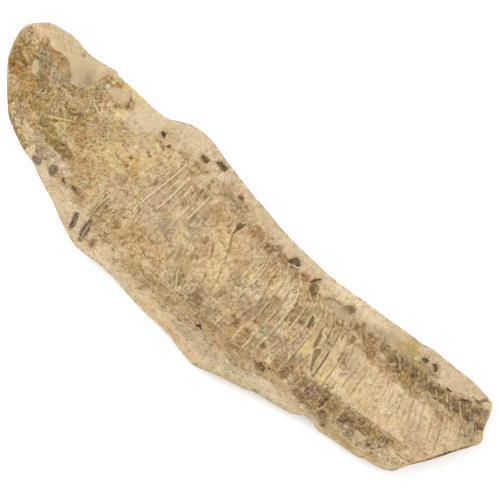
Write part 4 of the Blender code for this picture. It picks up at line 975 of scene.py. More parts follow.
def stone_colours(x, y):
    """The soft colours of the face, bare stone and fish."""
    fish = fish_share(x, y)
    colour = blend(np.tile(linear("stone"), (x.size, 1)), "warm stone", 0.5 + 0.5 * lumps(x, y, 40, 101))
    colour = blend(colour, "pink", 0.35 * ease(lumps(x, y, 13, 105), 0.1, 0.5))
    colour = blend(colour, "greengrey", 0.2 * ease(lumps(x, y, 16, 106), 0.1, 0.5))
    body = blend(np.tile(linear("fish"), (x.size, 1)), "tail flank", ease(x, 95, 30))
    body = blend(body, "gill", ease(-x, 95, 25))
    body = blend(body, "head", ease(-x, 138, 20))
    body = blend(body, "yellow", 0.35 * ease(lumps(x, y, 24, 103), 0, 0.8))
    body = blend(body, "mauve", 0.4 * ease(lumps(x, y, 17, 104), 0, 0.7) * ease(-x, -105, 30))
    body = blend(body, "olive", 0.5 * ease(lumps(x, y, 12, 107), 0.05, 0.5) * ease(-x, 110, 50))
    body = blend(body, "pale", 0.4 * ease(lumps(x, y, 9, 108), 0.15, 0.4))
    colour += (body - colour) * fish[:, None]
    wx = x + 1.8 * rough(x, y, 9, 111) + 1.0 * lumps(x, y, 3.1, 115) + 0.5 * lumps(x, y, 1.7, 116)
    wy = y + 1.8 * rough(x, y, 9, 121) + 1.0 * lumps(x, y, 3.1, 125) + 0.5 * lumps(x, y, 1.7, 126)
    patchy = 0.97 + 0.2 * lumps(x, y, 4.2, 131)
    for name, (cx, cy, long, wide, strength, *turn) in each_mark(STAINS, 1):
        near = np.abs(x - cx) + np.abs(y - cy) < 2 * (long + wide) + 8
        share = soft_area(wx[near], wy[near], (cx, cy), (long, wide), sum(turn))
        colour[near] = blend(colour[near], name, (strength * share * patchy[near]).clip(0, 0.96))
    return colour


def scale_colours(x, y, place, colour):
    """Tones of single scales and scutes."""
    patchy = 0.87 + 0.2 * lumps(x, y, 3.2, 141)
    ragged = 0.8 * lumps(x, y, 6, 142) + 0.5 * lumps(x, y, 2.4, 143)
    in_row = ease(scute_top(x) - y + ragged, -0.3, 1.0) * ease(y - scute_foot(x) + ragged, -0.6, 2)
    colour = blend(colour, "tan", 0.8 * in_row * ease(x, 98, 10) * ease(-x, -194, 8))
    for column, low, high, name, strength in SCALE_TONES:
        across = np.minimum(place - column, column + 1 - place) * SCALE_WIDTH
        share = ease(across, -0.3, 1.2) * ease(y - low, -1.4, 2.8) * ease(high - y, -1.4, 2.8)
        colour = blend(colour, name, (strength * share * patchy).clip(0, 1))
    for near, depth, name, _, strength in tiles(x, y):
        share = 1.4 * strength * ease(depth, -0.45, 0.8) * patchy[near]
        colour[near] = blend(colour[near], name, share.clip(0, 1))
    return colour


def fragments(x, y):
    """Colour, strength, depth and grain of the nearest fragment: depth is positive inside it."""
    depth, strength, grain = np.full(x.shape, -9.0), np.zeros(x.shape), np.ones(x.shape)
    colour = np.tile(linear("brown"), (x.size, 1))
    for name, _, share, points in each_mark(PIECES, 3):
        here = outline_depth(x, y, points)
        nearer = here > depth
        depth[nearer], strength[nearer], colour[nearer] = here[nearer], share, linear(name)
        grain[nearer] = PALE_GRAIN if name in PALE_BONE else DARK_GRAIN
    return colour, strength, depth.clip(-3, 3), grain


def fine_lines(x, y):
    """Colour and strength of the nearest line, the distance to one side of it, and its half width."""
    deepest, strength = np.full(x.shape, -9.0), np.zeros(x.shape)
    side, half = np.full(x.shape, 9.0), np.full(x.shape, -1.0)
    colour = np.tile(linear("brown"), (x.size, 1))
    for name, width, _, share, points in each_mark(LINES, 4):
        here_side, here_half, depth = line_place(x, y, points, width)
        nearer = depth > deepest
        deepest[nearer], side[nearer], half[nearer] = depth[nearer], here_side[nearer], here_half[nearer]
        strength[nearer], colour[nearer] = share, linear(name)
    return colour, strength, side.clip(-9, 9), half.clip(-3, 3)


def blurred(grid, reach):
    """A grid's running mean over reach steps on both sides, in both directions."""
    for axis in (0, 1):
        padded = np.pad(grid, [(reach + 1, reach) if a == axis else (0, 0) for a in (0, 1)], mode="edge")
        total = np.cumsum(padded, axis=axis)
        span = 2 * reach + 1
        ahead, behind = [slice(None)] * 2, [slice(None)] * 2
        ahead[axis], behind[axis] = slice(span, None), slice(None, -span)
        grid = (total[tuple(ahead)] - total[tuple(behind)]) / span
    return grid


# ---------------------------------------------------------------- the stone's mesh


def grid_cage(mesh, columns, rows, level):
    """A flat grid at a whole level of the cage; returns its boundary."""
    made = bmesh.ops.create_grid(
        mesh, x_segments=columns, y_segments=rows, size=0.5, matrix=Matrix.Translation((0, 0, -level))
    )["verts"]
    return list({e for v in made for e in v.link_edges if e.is_boundary})


def cage():
    """The split face, the rings of the side and a coarser underside, one below the other."""
    mesh = bmesh.new()
    rim = grid_cage(mesh, COLUMNS, ROWS, 0)
    for _ in ROUNDED_SIDE:
        grown = bmesh.ops.extrude_edge_only(mesh, edges=rim)["geom"]
        ring = [v for v in grown if isinstance(v, bmesh.types.BMVert)]
        bmesh.ops.translate(mesh, verts=ring, vec=(0, 0, -1))
        rim = [e for e in grown if isinstance(e, bmesh.types.BMEdge)]
    back_rim = grid_cage(mesh, BACK_COLUMNS, BACK_ROWS, RINGS + 1)
    bmesh.ops.bridge_loops(mesh, edges=rim + back_rim)
    bmesh.ops.recalc_face_normals(mesh, faces=mesh.faces)
    return mesh


def shrunk(u, v, inset, size):
    """The shares that lie inset in from the outline of a stone of the given length and width."""
    in_u, in_v = inset / size[0], inset / size[1]
    return in_u + (1 - 2 * in_u) * u, in_v + (1 - 2 * in_v) * v


def side_places(u, ring):
    """Inset and share of the way down for the rings of the side, rounded or broken."""
    broken = ease(u, 1 - BREAK_SPREAD, BREAK_SPREAD)
    inset, down = np.full(u.shape, FACE_INSET), np.zeros(u.shape)
    for number, (round_in, round_down) in enumerate(ROUNDED_SIDE, 1):
        here = ring == number
        share = broken[here]
        inset[here] = (1 - share) * round_in + share * BROKEN_SIDE[number - 1][0]
        down[here] = (1 - share) * round_down + share * BROKEN_SIDE[number - 1][1]
    return inset, down


def underside_down(u, v, size):
    """Share of the way down over the underside: a low dome, cut off steeply at the broken end."""
    from_tail = (1 - u) * size[0]
    from_side = np.minimum(u * size[0], np.minimum(v, 1 - v) * size[1])
    domed = np.interp(from_side, [0, 2, 5, 8, 12, 17, 22], [0.5, 0.56, 0.68, 0.78, 0.88, 0.96, 1])
    steep = np.interp(from_tail, [0, 1, 2.5, 5], [0.7, 0.9, 0.97, 1])
    return np.minimum(domed, steep)


def carry_onto_stone(data):
    """Moves the cage, whose x and y are shares and whose z counts levels, onto the stone's form."""
    count = len(data.vertices)
    places = np.empty(count * 3, np.float32)
    data.vertices.foreach_get("co", places)
    places = places.reshape(-1, 3).astype(float)
    u, v, ring = places[:, 0] + 0.5, places[:, 1] + 0.5, np.rint(-places[:, 2]).astype(int)
    face, under = ring == 0, ring == RINGS + 1
    size = (float(np.ptp([p[0] for p in SNOUT_END + TAIL_BREAK])), float(back(0.5)[1] - belly(0.5)[1]))
    inset, down = side_places(u, ring)
    inset[under] = UNDERSIDE_INSET
    down[under] = underside_down(u[under], v[under], size)
    rim_xy = plan(*shrunk(u, v, FACE_INSET, size))
    xy = plan(*shrunk(u, v, inset, size))
    sides = ~face & ~under
    weathered = 1.1 * rough(xy[:, 0], xy[:, 1], 16, 151) + 0.5 * lumps(xy[:, 0] + 9 * ring, xy[:, 1], 4, 155)
    inset[sides] += (weathered[sides] * np.where(ring[sides] > 1, 1, 0.4)).clip(-0.6, 2)
    at_rim = np.minimum(np.minimum(u, 1 - u) * 60, np.minimum(v, 1 - v) * 20) < 1
    inset += 0.5 * rough(xy[:, 0], xy[:, 1], 6, 157, 3) * at_rim
    xy = np.where(under[:, None], xy, plan(*shrunk(u, v, inset, size)))
    x, y = rim_xy.T
    place = scale_place(x, y)
    inside = FACE_INSET + np.minimum(np.minimum(u, 1 - u) * size[0], np.minimum(v, 1 - v) * size[1])
    base = FACE_LEVEL + body_form(x, y) + head_forms(x, y) - rim_fall(x, y, inside)
    relief = face_relief(x, y, place)
    height = (base + relief * face) * (1 - down)
    height[under] = (FACE_LEVEL * (1 - down) + 1.2 * rough(x, y, 18, 161) * (1 - down))[under]
    height[under] += 0.5 * ease(rough(x, y, 7, 165), 0.15, 0.5)[under]
    height[face] += HIGH[2] - np.percentile(height[face], PEAK_PERCENT)
    xy -= (xy.min(0) + xy.max(0)) / 2 - (LOW[:2] + HIGH[:2]) / 2
    spots = np.column_stack([xy, height]).clip(LOW, HIGH)
    data.vertices.foreach_set("co", (spots * MM).astype(np.float32).ravel())
    data.update()
    broken = ease(u, 1 - BREAK_SPREAD, BREAK_SPREAD)
    return u, v, face, x, y, place, relief, broken


def relief_shading_share(u, v, face, relief):
    """How far each place of the face lies above or below its surroundings, from -1 to 1, for painted shade
    and highlight.
    """
    column, row = np.rint(u[face] * COLUMNS).astype(int), np.rint(v[face] * ROWS).astype(int)
    grid = np.zeros((COLUMNS + 1, ROWS + 1))
    grid[column, row] = relief[face]
    near = (grid - blurred(grid, 2)) / 0.2 + 0.25 * (blurred(grid, 1) - blurred(grid, 6)) / 0.3
    share = np.zeros(u.shape)
    share[face] = near[column, row].clip(-1, 1)
    return share


def put_values(data, name, values):
    """One number for each vertex, under a name that a material reads."""
    attribute = data.attributes.new(name, "FLOAT", "POINT")
    attribute.data.foreach_set("value", values.astype(np.float32))


def put_colours(data, name, colours):
    """A colour for each vertex."""
    attribute = data.attributes.new(name, "FLOAT_COLOR", "POINT")
    whole = np.column_stack([colours.clip(0, 1), np.ones(len(colours))])
    attribute.data.foreach_set("color", whole.astype(np.float32).ravel())


def put_triples(data, name, *values):
    """Three values for each vertex, read in a material as the parts of one vector."""
    attribute = data.attributes.new(name, "FLOAT_VECTOR", "POINT")
    attribute.data.foreach_set("vector", np.column_stack(values).astype(np.float32).ravel())


# ---------------------------------------------------------------- materials

SHADING_TINT = (0.9, 1.0, 1.17)  # how strongly shading acts on red, green and blue
CRACK_TINT = (0.48, 0.42, 0.32, 1.0)
# painted shade for the low places of the fine relief
HOLLOW_SHADE_TINT = (0.5, 0.43, 0.35, 1.0)
STONE_GLOSS = 0.12
BUMP = {"Strength": 0.85, "Distance": MM}


class Wiring:
    """Adds nodes to a tree, joining a socket or setting a value on each input."""

    def __init__(self, tree):
        self.tree = tree

    def node(self, kind, inputs=(), **settings):
        """A new node of some kind, with its settings made and its inputs given."""
        made = self.tree.nodes.new(kind)
        for name, value in settings.items():
            setattr(made, name, value)
        for key, value in dict(inputs).items():
            self.give(made.inputs[key], value)
        return made

    def give(self, socket, value):
        if isinstance(value, bpy.types.NodeSocket):
            self.tree.links.new(value, socket)
        else:
            socket.default_value = value

    def noise(self, vector, scale, detail=2.0, roughness=0.5, seed=0.0):
        inputs = {"Vector": vector, "W": seed, "Scale": scale, "Detail": detail, "Roughness": roughness}
        return self.node("ShaderNodeTexNoise", inputs, noise_dimensions="4D").outputs["Fac"]

    def math(self, operation, a, b=0.0, c=0.0):
        return self.node("ShaderNodeMath", {0: a, 1: b, 2: c}, operation=operation).outputs[0]

    def spread(self, value, low, high, to_low=0.0, to_high=1.0):
        """The value eased from to_low at low to to_high at high."""
        inputs = {"Value": value, "From Min": low, "From Max": high, "To Min": to_low, "To Max": to_high}
        return self.node("ShaderNodeMapRange", inputs, interpolation_type="SMOOTHSTEP").outputs["Result"]

    def mix(self, share, a, b):
        return self.node("ShaderNodeMix", {0: share, 6: a, 7: b}, data_type="RGBA").outputs[2]

    def tinted(self, share, colour, tint):
        """The colour with a share of the tint multiplied into it."""
        inputs = {0: share, 6: colour, 7: tint}
        return self.node("ShaderNodeMix", inputs, data_type="RGBA", blend_type="MULTIPLY").outputs[2]

    def warped(self, vector, scale, reach, seed):
        """The vector pushed about by noise, by up to about half of the reach."""
        inputs = {"Vector": vector, "W": seed, "Scale": scale, "Detail": 3.0, "Roughness": 0.6}
        pushed = self.node("ShaderNodeTexNoise", inputs, noise_dimensions="4D").outputs["Color"]
        centred = self.node("ShaderNodeVectorMath", {0: pushed, 1: (0.5, 0.5, 0.5)}, operation="SUBTRACT")
        inputs = {0: centred.outputs[0], 1: (reach, reach, reach), 2: vector}
        return self.node("ShaderNodeVectorMath", inputs, operation="MULTIPLY_ADD").outputs[0]

    def brighten(self, colour, amount):
        """The colour times the amount."""
        inputs = {0: colour, "Scale": amount}
        return self.node("ShaderNodeVectorMath", inputs, operation="SCALE").outputs[0]

    def shaded(self, colour, change):
        """The colour made lighter by a change above 0, and darker and warmer by one below."""
        inputs = {0: change, 1: SHADING_TINT, 2: (1, 1, 1)}
        amounts = self.node("ShaderNodeVectorMath", inputs, operation="MULTIPLY_ADD").outputs[0]
        inputs = {0: colour, 1: amounts}
        return self.node("ShaderNodeVectorMath", inputs, operation="MULTIPLY").outputs[0]

    def attribute(self, name, output="Fac"):
        return self.node("ShaderNodeAttribute", attribute_name=name).outputs[output]

    def parts(self, name):
        """The three values carried by one attribute."""
        inputs = {0: self.attribute(name, "Vector")}
        return [self.node("ShaderNodeSeparateXYZ", inputs).outputs[n] for n in range(3)]

    def place(self):
        return self.node("ShaderNodeTexCoord").outputs["Object"]

    def group(self, tree, **inputs):
        """Places a shader group, with its inputs given by name."""
        made = self.node("ShaderNodeGroup", node_tree=tree)
        for name, value in inputs.items():
            self.give(made.inputs[name.replace("_", " ")], value)
        return made.outputs


def opaque(name):
    """A palette colour as a socket takes it."""
    return (*linear(name), 1.0)


def new_group(name, inputs, outputs):
    """An empty shader group with named sockets; returns it, its wiring and its two ends."""
    group = bpy.data.node_groups.new(name, "ShaderNodeTree")
    kinds = {tuple: "NodeSocketColor", float: "NodeSocketFloat"}
    for label, value in inputs.items():
        socket = group.interface.new_socket(label, in_out="INPUT", socket_type=kinds[type(value)])
        socket.default_value = value
    for label, kind in outputs.items():
        group.interface.new_socket(label, in_out="OUTPUT", socket_type=kinds[kind])
    wiring = Wiring(group)
    return group, wiring, wiring.node("NodeGroupInput").outputs, wiring.node("NodeGroupOutput").inputs


def limestone_grain():
    """Mottling and grain of limestone, with fine creases of painted shade and highlight: a toned colour and a
    height in millimetres.
    """
    inputs = {"Colour": opaque("stone"), "Contrast": 1.0, "Fineness": 100.0, "Creases": 0.5}
    group, wiring, start, end = new_group("limestone_grain", inputs, {"Colour": tuple, "Height": float})
    place, fineness = wiring.place(), start["Fineness"]
    tone = wiring.noise(place, fineness, 4.0, 0.95)
    fine = wiring.noise(place, wiring.math("MULTIPLY", fineness, 6.0), 1.0, 0.5, 5.0)
    swing = wiring.math("MULTIPLY_ADD", fine, 1.1, wiring.math("MULTIPLY_ADD", tone, 0.85, -0.975))
    quiet = wiring.noise(place, wiring.math("MULTIPLY", fineness, 0.3), 2.0, 0.5, 7.0)
    uneven = wiring.math("MULTIPLY", start["Contrast"], wiring.spread(quiet, 0.36, 0.64, 0.6, 1.35))
    swing = wiring.math("MULTIPLY", swing, uneven)
    bent, small_bent = wiring.warped(place, 80.0, 0.012, 51.0), wiring.warped(place, 260.0, 0.004, 55.0)
    bend = wiring.noise(bent, wiring.math("MULTIPLY", fineness, 0.45), 3.0, 0.6, 53.0)
    here = wiring.math("MULTIPLY", wiring.spread(quiet, 0.42, 0.56), start["Creases"])
    small_bend = wiring.noise(small_bent, wiring.math("MULTIPLY", fineness, 1.15), 2.0, 0.6, 57.0)
    small_here = wiring.math("MULTIPLY", wiring.spread(tone, 0.62, 0.44, 0.1, 1.0), start["Creases"])
    # Each crease is painted: a dark line and a pale one just beside it, painted shade and painted highlight
    marks = (  # wave, share, where in the wave, half width, change of tone
        (bend, here, 0.5, 0.016, -0.42), (bend, here, 0.526, 0.012, 0.2),
        (small_bend, small_here, 0.5, 0.034, -0.2), (small_bend, small_here, 0.56, 0.03, 0.12),
    )
    for wave, share, middle, half, change in marks:
        aside = wiring.math("ABSOLUTE", wiring.math("SUBTRACT", wave, middle))
        crease = wiring.math("MULTIPLY", wiring.spread(aside, half, 0.003), share)
        swing = wiring.math("MULTIPLY_ADD", crease, change, swing)
    wiring.give(end["Colour"], wiring.shaded(start["Colour"], swing))
    terrain = wiring.noise(place, fineness, 6.0, 0.62, 3.0)
    wiring.give(end["Height"], wiring.math("MULTIPLY", terrain, start["Contrast"]))
    return group


def mineral_tints():
    """Patches a few millimetres across, turned a little to rose and green, or to yellow and grey."""
    inputs = {"Colour": opaque("stone"), "Amount": 1.0}
    group, wiring, start, end = new_group("mineral_tints", inputs, {"Colour": tuple})
    place, colour = wiring.place(), start["Colour"]
    kinds = (
        (120.0, 11.0, (0.965, 1.013, 1.0, 1), (1.035, 0.987, 1.0, 1)),
        (170.0, 17.0, (1.0, 1.0, 1.08, 1), (1.0, 0.99, 0.89, 1)),
    )
    for scale, seed, one, other in kinds:
        share = wiring.spread(wiring.noise(place, scale, 5.0, 0.8, seed), 0.4, 0.6)
        colour = wiring.tinted(start["Amount"], colour, wiring.mix(share, one, other))
    wiring.give(end["Colour"], colour)
    return group


def rock_flakes():
    """Angular flakes with their own tone and thin cracks between them; heights are in millimetres."""
    inputs = {"Colour": opaque("stone"), "Fineness": 150.0, "Contrast": 1.0, "Cracks": 0.5}
    outputs = {"Colour": tuple, "Height": float}
    group, wiring, start, end = new_group("rock_flakes", inputs, outputs)
    place = wiring.warped(wiring.place(), 190.0, 0.005, 43.0)
    flake = {"Vector": place, "Scale": start["Fineness"]}
    cells = wiring.node("ShaderNodeTexVoronoi", flake)
    rims = wiring.node("ShaderNodeTexVoronoi", flake, feature="DISTANCE_TO_EDGE")
    own = wiring.node("ShaderNodeSeparateColor", {0: cells.outputs["Color"]}).outputs
    swing = wiring.math("MULTIPLY", wiring.math("SUBTRACT", own[0], 0.5), start["Contrast"])
    colour = wiring.brighten(start["Colour"], wiring.math("MULTIPLY_ADD", swing, 0.2, 1.0))
    here = wiring.spread(wiring.noise(wiring.place(), 110.0, 3.0, 0.6, 47.0), 0.44, 0.58)
    crack = wiring.math("MULTIPLY", wiring.spread(rims.outputs["Distance"], 0.07, 0.0), here)
    crack = wiring.math("MULTIPLY", crack, start["Cracks"])
    wiring.give(end["Colour"], wiring.tinted(crack, colour, CRACK_TINT))
    step = wiring.math("MULTIPLY", wiring.math("MULTIPLY", own[1], start["Contrast"]), 0.45)
    wiring.give(end["Height"], wiring.math("MULTIPLY_ADD", crack, -0.5, step))
    return group


def mineral_specks():
    """Small irregular grains and pits of one colour, scattered over another."""
    inputs = {"Colour": opaque("stone"), "Speck Colour": opaque("umber"), "Fineness": 420.0, "Amount": 0.5}
    group, wiring, start, end = new_group("mineral_specks", inputs, {"Colour": tuple, "Mask": float})
    place = wiring.place()
    grains = wiring.noise(place, start["Fineness"], 3.0, 0.7, 31.0)
    clusters = wiring.noise(place, wiring.math("MULTIPLY", start["Fineness"], 0.2), 2.0, 0.5, 37.0)
    level = wiring.math("MULTIPLY_ADD", clusters, 0.35, wiring.math("SUBTRACT", grains, 0.175))
    mask = wiring.math("MULTIPLY", wiring.spread(level, 0.56, 0.64), start["Amount"])
    wiring.give(end["Colour"], wiring.mix(mask, start["Colour"], start["Speck Colour"]))
    wiring.give(end["Mask"], mask)
    return group


def ragged_stripe():
    """How far a place lies in a stripe of some half width, given its distance to one side of the middle."""
    inputs = {"Offset": 0.0, "Half Width": 0.5, "Softness": 0.25, "Raggedness": 0.4}
    group, wiring, start, end = new_group("ragged_stripe", inputs, {"Mask": float})
    shift = wiring.math("SUBTRACT", wiring.noise(wiring.place(), 1100.0, 2.0, 0.6, 41.0), 0.5)
    reach = wiring.math("MULTIPLY_ADD", shift, start["Raggedness"], start["Half Width"])
    inside = wiring.math("SUBTRACT", reach, wiring.math("ABSOLUTE", start["Offset"]))
    low = wiring.math("MULTIPLY", start["Softness"], -1.0)
    wiring.give(end["Mask"], wiring.spread(inside, low, start["Softness"]))
    return group


def new_material(name):
    """A material, its wiring and its shader."""
    material = bpy.data.materials.new(name)
    material.use_nodes = True
    wiring = Wiring(material.node_tree)
    return material, wiring, material.node_tree.nodes["Principled BSDF"]


def finish_stone(wiring, shader, colour, roughness, height):
    """Joins what the surface shows to the shader of a stone material; the height is in millimetres."""
    wiring.give(shader.inputs["Base Color"], colour)
    wiring.give(shader.inputs["Roughness"], roughness)
    bump = wiring.node("ShaderNodeBump", {**BUMP, "Height": height})
    wiring.give(shader.inputs["Normal"], bump.outputs["Normal"])
    shader.inputs["Specular IOR Level"].default_value = STONE_GLOSS


def grown_noise(wiring, scale, detail, roughness, seed):
    """Noise drawn out along each part of the fish: its scale columns, belly rows, cheek and snout."""
    shares = wiring.parts("growth_shares")
    value = wiring.noise(wiring.attribute("growth_columns", "Vector"), scale, detail, roughness, seed)
    for part, share in zip(("growth_belly", "growth_cheek", "growth_snout"), shares):
        other = wiring.noise(wiring.attribute(part, "Vector"), scale, detail, roughness, seed)
        value = wiring.math("MULTIPLY_ADD", wiring.math("SUBTRACT", other, value), share, value)
    return value


def split_face_material(groups):
    """Pale matrix and petrified fish, coloured and marked by the values carried on the mesh."""
    material, wiring, shader = new_material("split_face")
    place = wiring.place()
    texture, bone, belly_rows = wiring.parts("tissue")
    column, edges, groove = wiring.parts("scales")

    lively = wiring.math("MULTIPLY", texture, texture)
    stained = wiring.attribute("stain", "Color")
    grained = wiring.group(groups["grain"], Colour=stained, Contrast=texture, Fineness=210.0, Creases=lively)
    tints = wiring.group(groups["tints"], Colour=grained["Colour"], Amount=texture)
    cracks = wiring.math("MULTIPLY", bone, 0.8)
    flakes = wiring.group(
        groups["flakes"], Colour=tints["Colour"], Fineness=240.0, Contrast=bone, Cracks=cracks
    )
    colour = flakes["Colour"]

    number = wiring.math("FLOOR", column)
    own_tone = wiring.node("ShaderNodeTexWhiteNoise", {"W": number}, noise_dimensions="1D")
    swing = wiring.math("MULTIPLY", wiring.math("SUBTRACT", own_tone.outputs["Value"], 0.5), edges)
    colour = wiring.brighten(colour, wiring.math("MULTIPLY_ADD", swing, 0.16, 1.0))
    streaks = grown_noise(wiring, 1.0, 4.0, 0.75, 0.0)
    streak_swing = wiring.math("MULTIPLY", wiring.math("SUBTRACT", streaks, 0.5), texture)
    colour = wiring.shaded(colour, streak_swing)
    dashes = grown_noise(wiring, 1.5, 2.0, 0.6, 91.0)
    crowded = wiring.spread(wiring.noise(place, 70.0, 2.0, 0.5, 93.0), 0.35, 0.65, -0.05, 0.05)
    dashes = wiring.math("ADD", dashes, crowded)
    dark_dash = wiring.math("MULTIPLY", wiring.spread(dashes, 0.57, 0.62), lively)
    light_dash = wiring.math("MULTIPLY", wiring.spread(dashes, 0.42, 0.36), lively)
    dash_swing = wiring.math("MULTIPLY_ADD", dark_dash, -0.28, wiring.math("MULTIPLY", light_dash, 0.12))
    colour = wiring.shaded(colour, dash_swing)
    row_wave = wiring.math("MULTIPLY", wiring.math("SINE", belly_rows), wiring.attribute("belly"))
    colour = wiring.brighten(colour, wiring.math("MULTIPLY_ADD", row_wave, 0.12, 1.0))

    amount = wiring.math("MULTIPLY", bone, 0.55)
    dark = wiring.group(
        groups["specks"], Colour=colour, Speck_Colour=opaque("umber"), Fineness=430.0, Amount=amount
    )
    amount = wiring.math("MULTIPLY", texture, 0.3)
    light = wiring.group(
        groups["specks"], Colour=dark["Colour"], Speck_Colour=opaque("pale"), Fineness=560.0, Amount=amount
    )
    colour = light["Colour"]

    # Column edges get a pale and an umber stripe: painted highlight and shade as if lit from the snout end
    half_column = SCALE_WIDTH / 2
    offset = wiring.math("FRACT", wiring.math("ADD", column, 0.5))
    offset = wiring.math("MULTIPLY_ADD", offset, SCALE_WIDTH, -half_column)
    painted_highlight_at = wiring.math("MULTIPLY", groove, 1.2)
    painted_shade_at = wiring.math("MULTIPLY_ADD", groove, -1.2, 1.2)
    gaps = wiring.spread(wiring.noise(place, 120.0, 3.0, 0.6, 61.0), 0.45, 0.62)
    strength = wiring.math("MULTIPLY", wiring.math("MULTIPLY", edges, gaps), 0.8)
    for middle, half, share, name in ((painted_shade_at, 0.45, 0.55, "umber"), (painted_highlight_at, 0.4, 0.55, "pale")):
        aside = wiring.math("SUBTRACT", offset, middle)
        stripe = wiring.group(groups["stripe"], Offset=aside, Half_Width=half, Softness=0.35, Raggedness=2.0)
        cover = wiring.math("MULTIPLY", stripe["Mask"], strength)
        colour = wiring.mix(wiring.math("MULTIPLY", cover, share), colour, opaque(name))

    # Painted shade in the low places of the fine relief, and a painted highlight on its raised places
    hollow = wiring.attribute("hollow")
    low = wiring.spread(hollow, 0.0, -1.0, 0.0, 0.55)
    high = wiring.spread(hollow, 0.1, 1.0, 0.0, 0.35)
    colour = wiring.tinted(low, colour, HOLLOW_SHADE_TINT)
    colour = wiring.mix(high, colour, opaque("pale"))

    piece_depth, piece_share, piece_grain = wiring.parts("piece")
    depth = wiring.math("ADD", piece_depth, 0.1)
    cover = wiring.group(groups["stripe"], Offset=0.0, Half_Width=depth, Softness=0.3, Raggedness=3.0)
    piece_cover = wiring.math("MULTIPLY", cover["Mask"], piece_share)
    piece_colour = wiring.attribute("piece_colour", "Color")
    piece_colour = wiring.group(
        groups["grain"], Colour=piece_colour, Contrast=piece_grain, Fineness=240.0, Creases=piece_grain
    )["Colour"]
    glints = wiring.spread(wiring.noise(place, 600.0, 3.0, 0.7, 67.0), 0.54, 0.64, 0.0, 0.24)
    glints = wiring.math("MULTIPLY", glints, piece_grain)
    piece_colour = wiring.mix(glints, piece_colour, opaque("fish"))
    colour = wiring.mix(piece_cover, colour, piece_colour)

    line_side, line_half, line_share = wiring.parts("line")
    stroke = wiring.group(
        groups["stripe"], Offset=line_side, Half_Width=line_half, Softness=0.3, Raggedness=2.6
    )
    wear = wiring.spread(wiring.noise(place, 330.0, 3.0, 0.6, 71.0), 0.4, 0.55, 0.25, 1.0)
    line_cover = wiring.math("MULTIPLY", wiring.math("MULTIPLY", stroke["Mask"], line_share), wear)
    colour = wiring.mix(line_cover, colour, wiring.attribute("line_colour", "Color"))

    matt = wiring.spread(grained["Height"], 0.2, 0.8, 0.95, 0.84)
    height = wiring.math("MULTIPLY_ADD", grained["Height"], 2.4, flakes["Height"])
    height = wiring.math("MULTIPLY_ADD", streak_swing, 1.1, height)
    height = wiring.math("MULTIPLY_ADD", dark["Mask"], -0.3, height)
    height = wiring.math("MULTIPLY_ADD", row_wave, 0.15, height)
    finish_stone(wiring, shader, colour, wiring.math("MULTIPLY_ADD", piece_cover, -0.2, matt), height)
    return material


def rind_material(groups):
    """The nodule's weathered outside: like the face near its rim, browner and pitted lower down."""
    material, wiring, shader = new_material("nodule_rind")
    place = wiring.place()
    patches = wiring.noise(place, 28.0, 4.0, 0.6)
    colour = wiring.mix(wiring.spread(patches, 0.35, 0.65), opaque("warm stone"), opaque("greengrey"))
    stains = wiring.noise(place, 75.0, 4.0, 0.7, 5.0)
    colour = wiring.mix(wiring.spread(stains, 0.5, 0.68, 0.0, 0.6), colour, opaque("tan"))
    depth = wiring.node("ShaderNodeSeparateXYZ", {0: place}).outputs["Z"]
    colour = wiring.mix(wiring.spread(depth, 0.013, 0.021), colour, wiring.attribute("stain", "Color"))
    # The broken tail end goes umber in blotches, most near its top: darker stone of the break and painted
    # shade
    high = wiring.spread(depth, 0.004, 0.02, 0.15, 1.0)
    fracture_dark_and_shade = wiring.math("MULTIPLY", wiring.attribute("fracture_and_shade"), high)
    blotches = wiring.spread(wiring.noise(place, 110.0, 4.0, 0.7, 13.0), 0.36, 0.58, 0.35, 1.0)
    colour = wiring.mix(wiring.math("MULTIPLY", fracture_dark_and_shade, blotches), colour, opaque("umber"))
    grained = wiring.group(groups["grain"], Colour=colour, Contrast=0.75, Fineness=80.0)
    tints = wiring.group(groups["tints"], Colour=grained["Colour"], Amount=0.7)
    flakes = wiring.group(groups["flakes"], Colour=tints["Colour"], Fineness=110.0, Contrast=0.6, Cracks=0.2)
    specked = wiring.group(
        groups["specks"], Colour=flakes["Colour"], Speck_Colour=opaque("umber"), Fineness=300.0, Amount=0.4
    )
    matt = wiring.spread(grained["Height"], 0.2, 0.6, 0.97, 0.86)
    height = wiring.math("MULTIPLY_ADD", grained["Height"], 2.6, flakes["Height"])
    height = wiring.math("MULTIPLY_ADD", specked["Mask"], -0.8, height)
    finish_stone(wiring, shader, specked["Colour"], matt, height)
    return material


# ---------------------------------------------------------------- the slab

CHEEK_RUN, SNOUT_RUN = (0.88, 0.47), (0.79, -0.62)  # the ways in which the bone of the head has grown


def carry_growth(data, x, y, place):
    """Places drawn out along the growth of each part of the fish, and the share of each part."""
    bent_x, bent_y = x + 190 + 6 * lumps(x, y, 34, 175), y - 10 + 6 * lumps(x, y, 34, 176)
    zero, belly_y = np.zeros_like(x), y + 1.5 * lumps(x, y, 14, 173)
    put_triples(data, "growth_columns", place * SCALE_WIDTH / 1.3, y / (6 - 3.4 * back_band(x, y)), zero)
    put_triples(data, "growth_belly", x / 8, belly_y / 1.3, zero + 9)
    for name, (run_x, run_y) in (("growth_cheek", CHEEK_RUN), ("growth_snout", SNOUT_RUN)):
        along, across = run_x * bent_x + run_y * bent_y, run_x * bent_y - run_y * bent_x
        put_triples(data, name, along / 6, across / 1.5, zero)
    along_belly = ease(scute_foot(x) + 2 * lumps(x, y, 9, 177) - y, -2, 6)
    in_head = ease(3 * lumps(x, y, 11, 178) - x, 92, 9)
    put_triples(data, "growth_shares", along_belly, in_head, in_head * ease(-x, 184, 10))


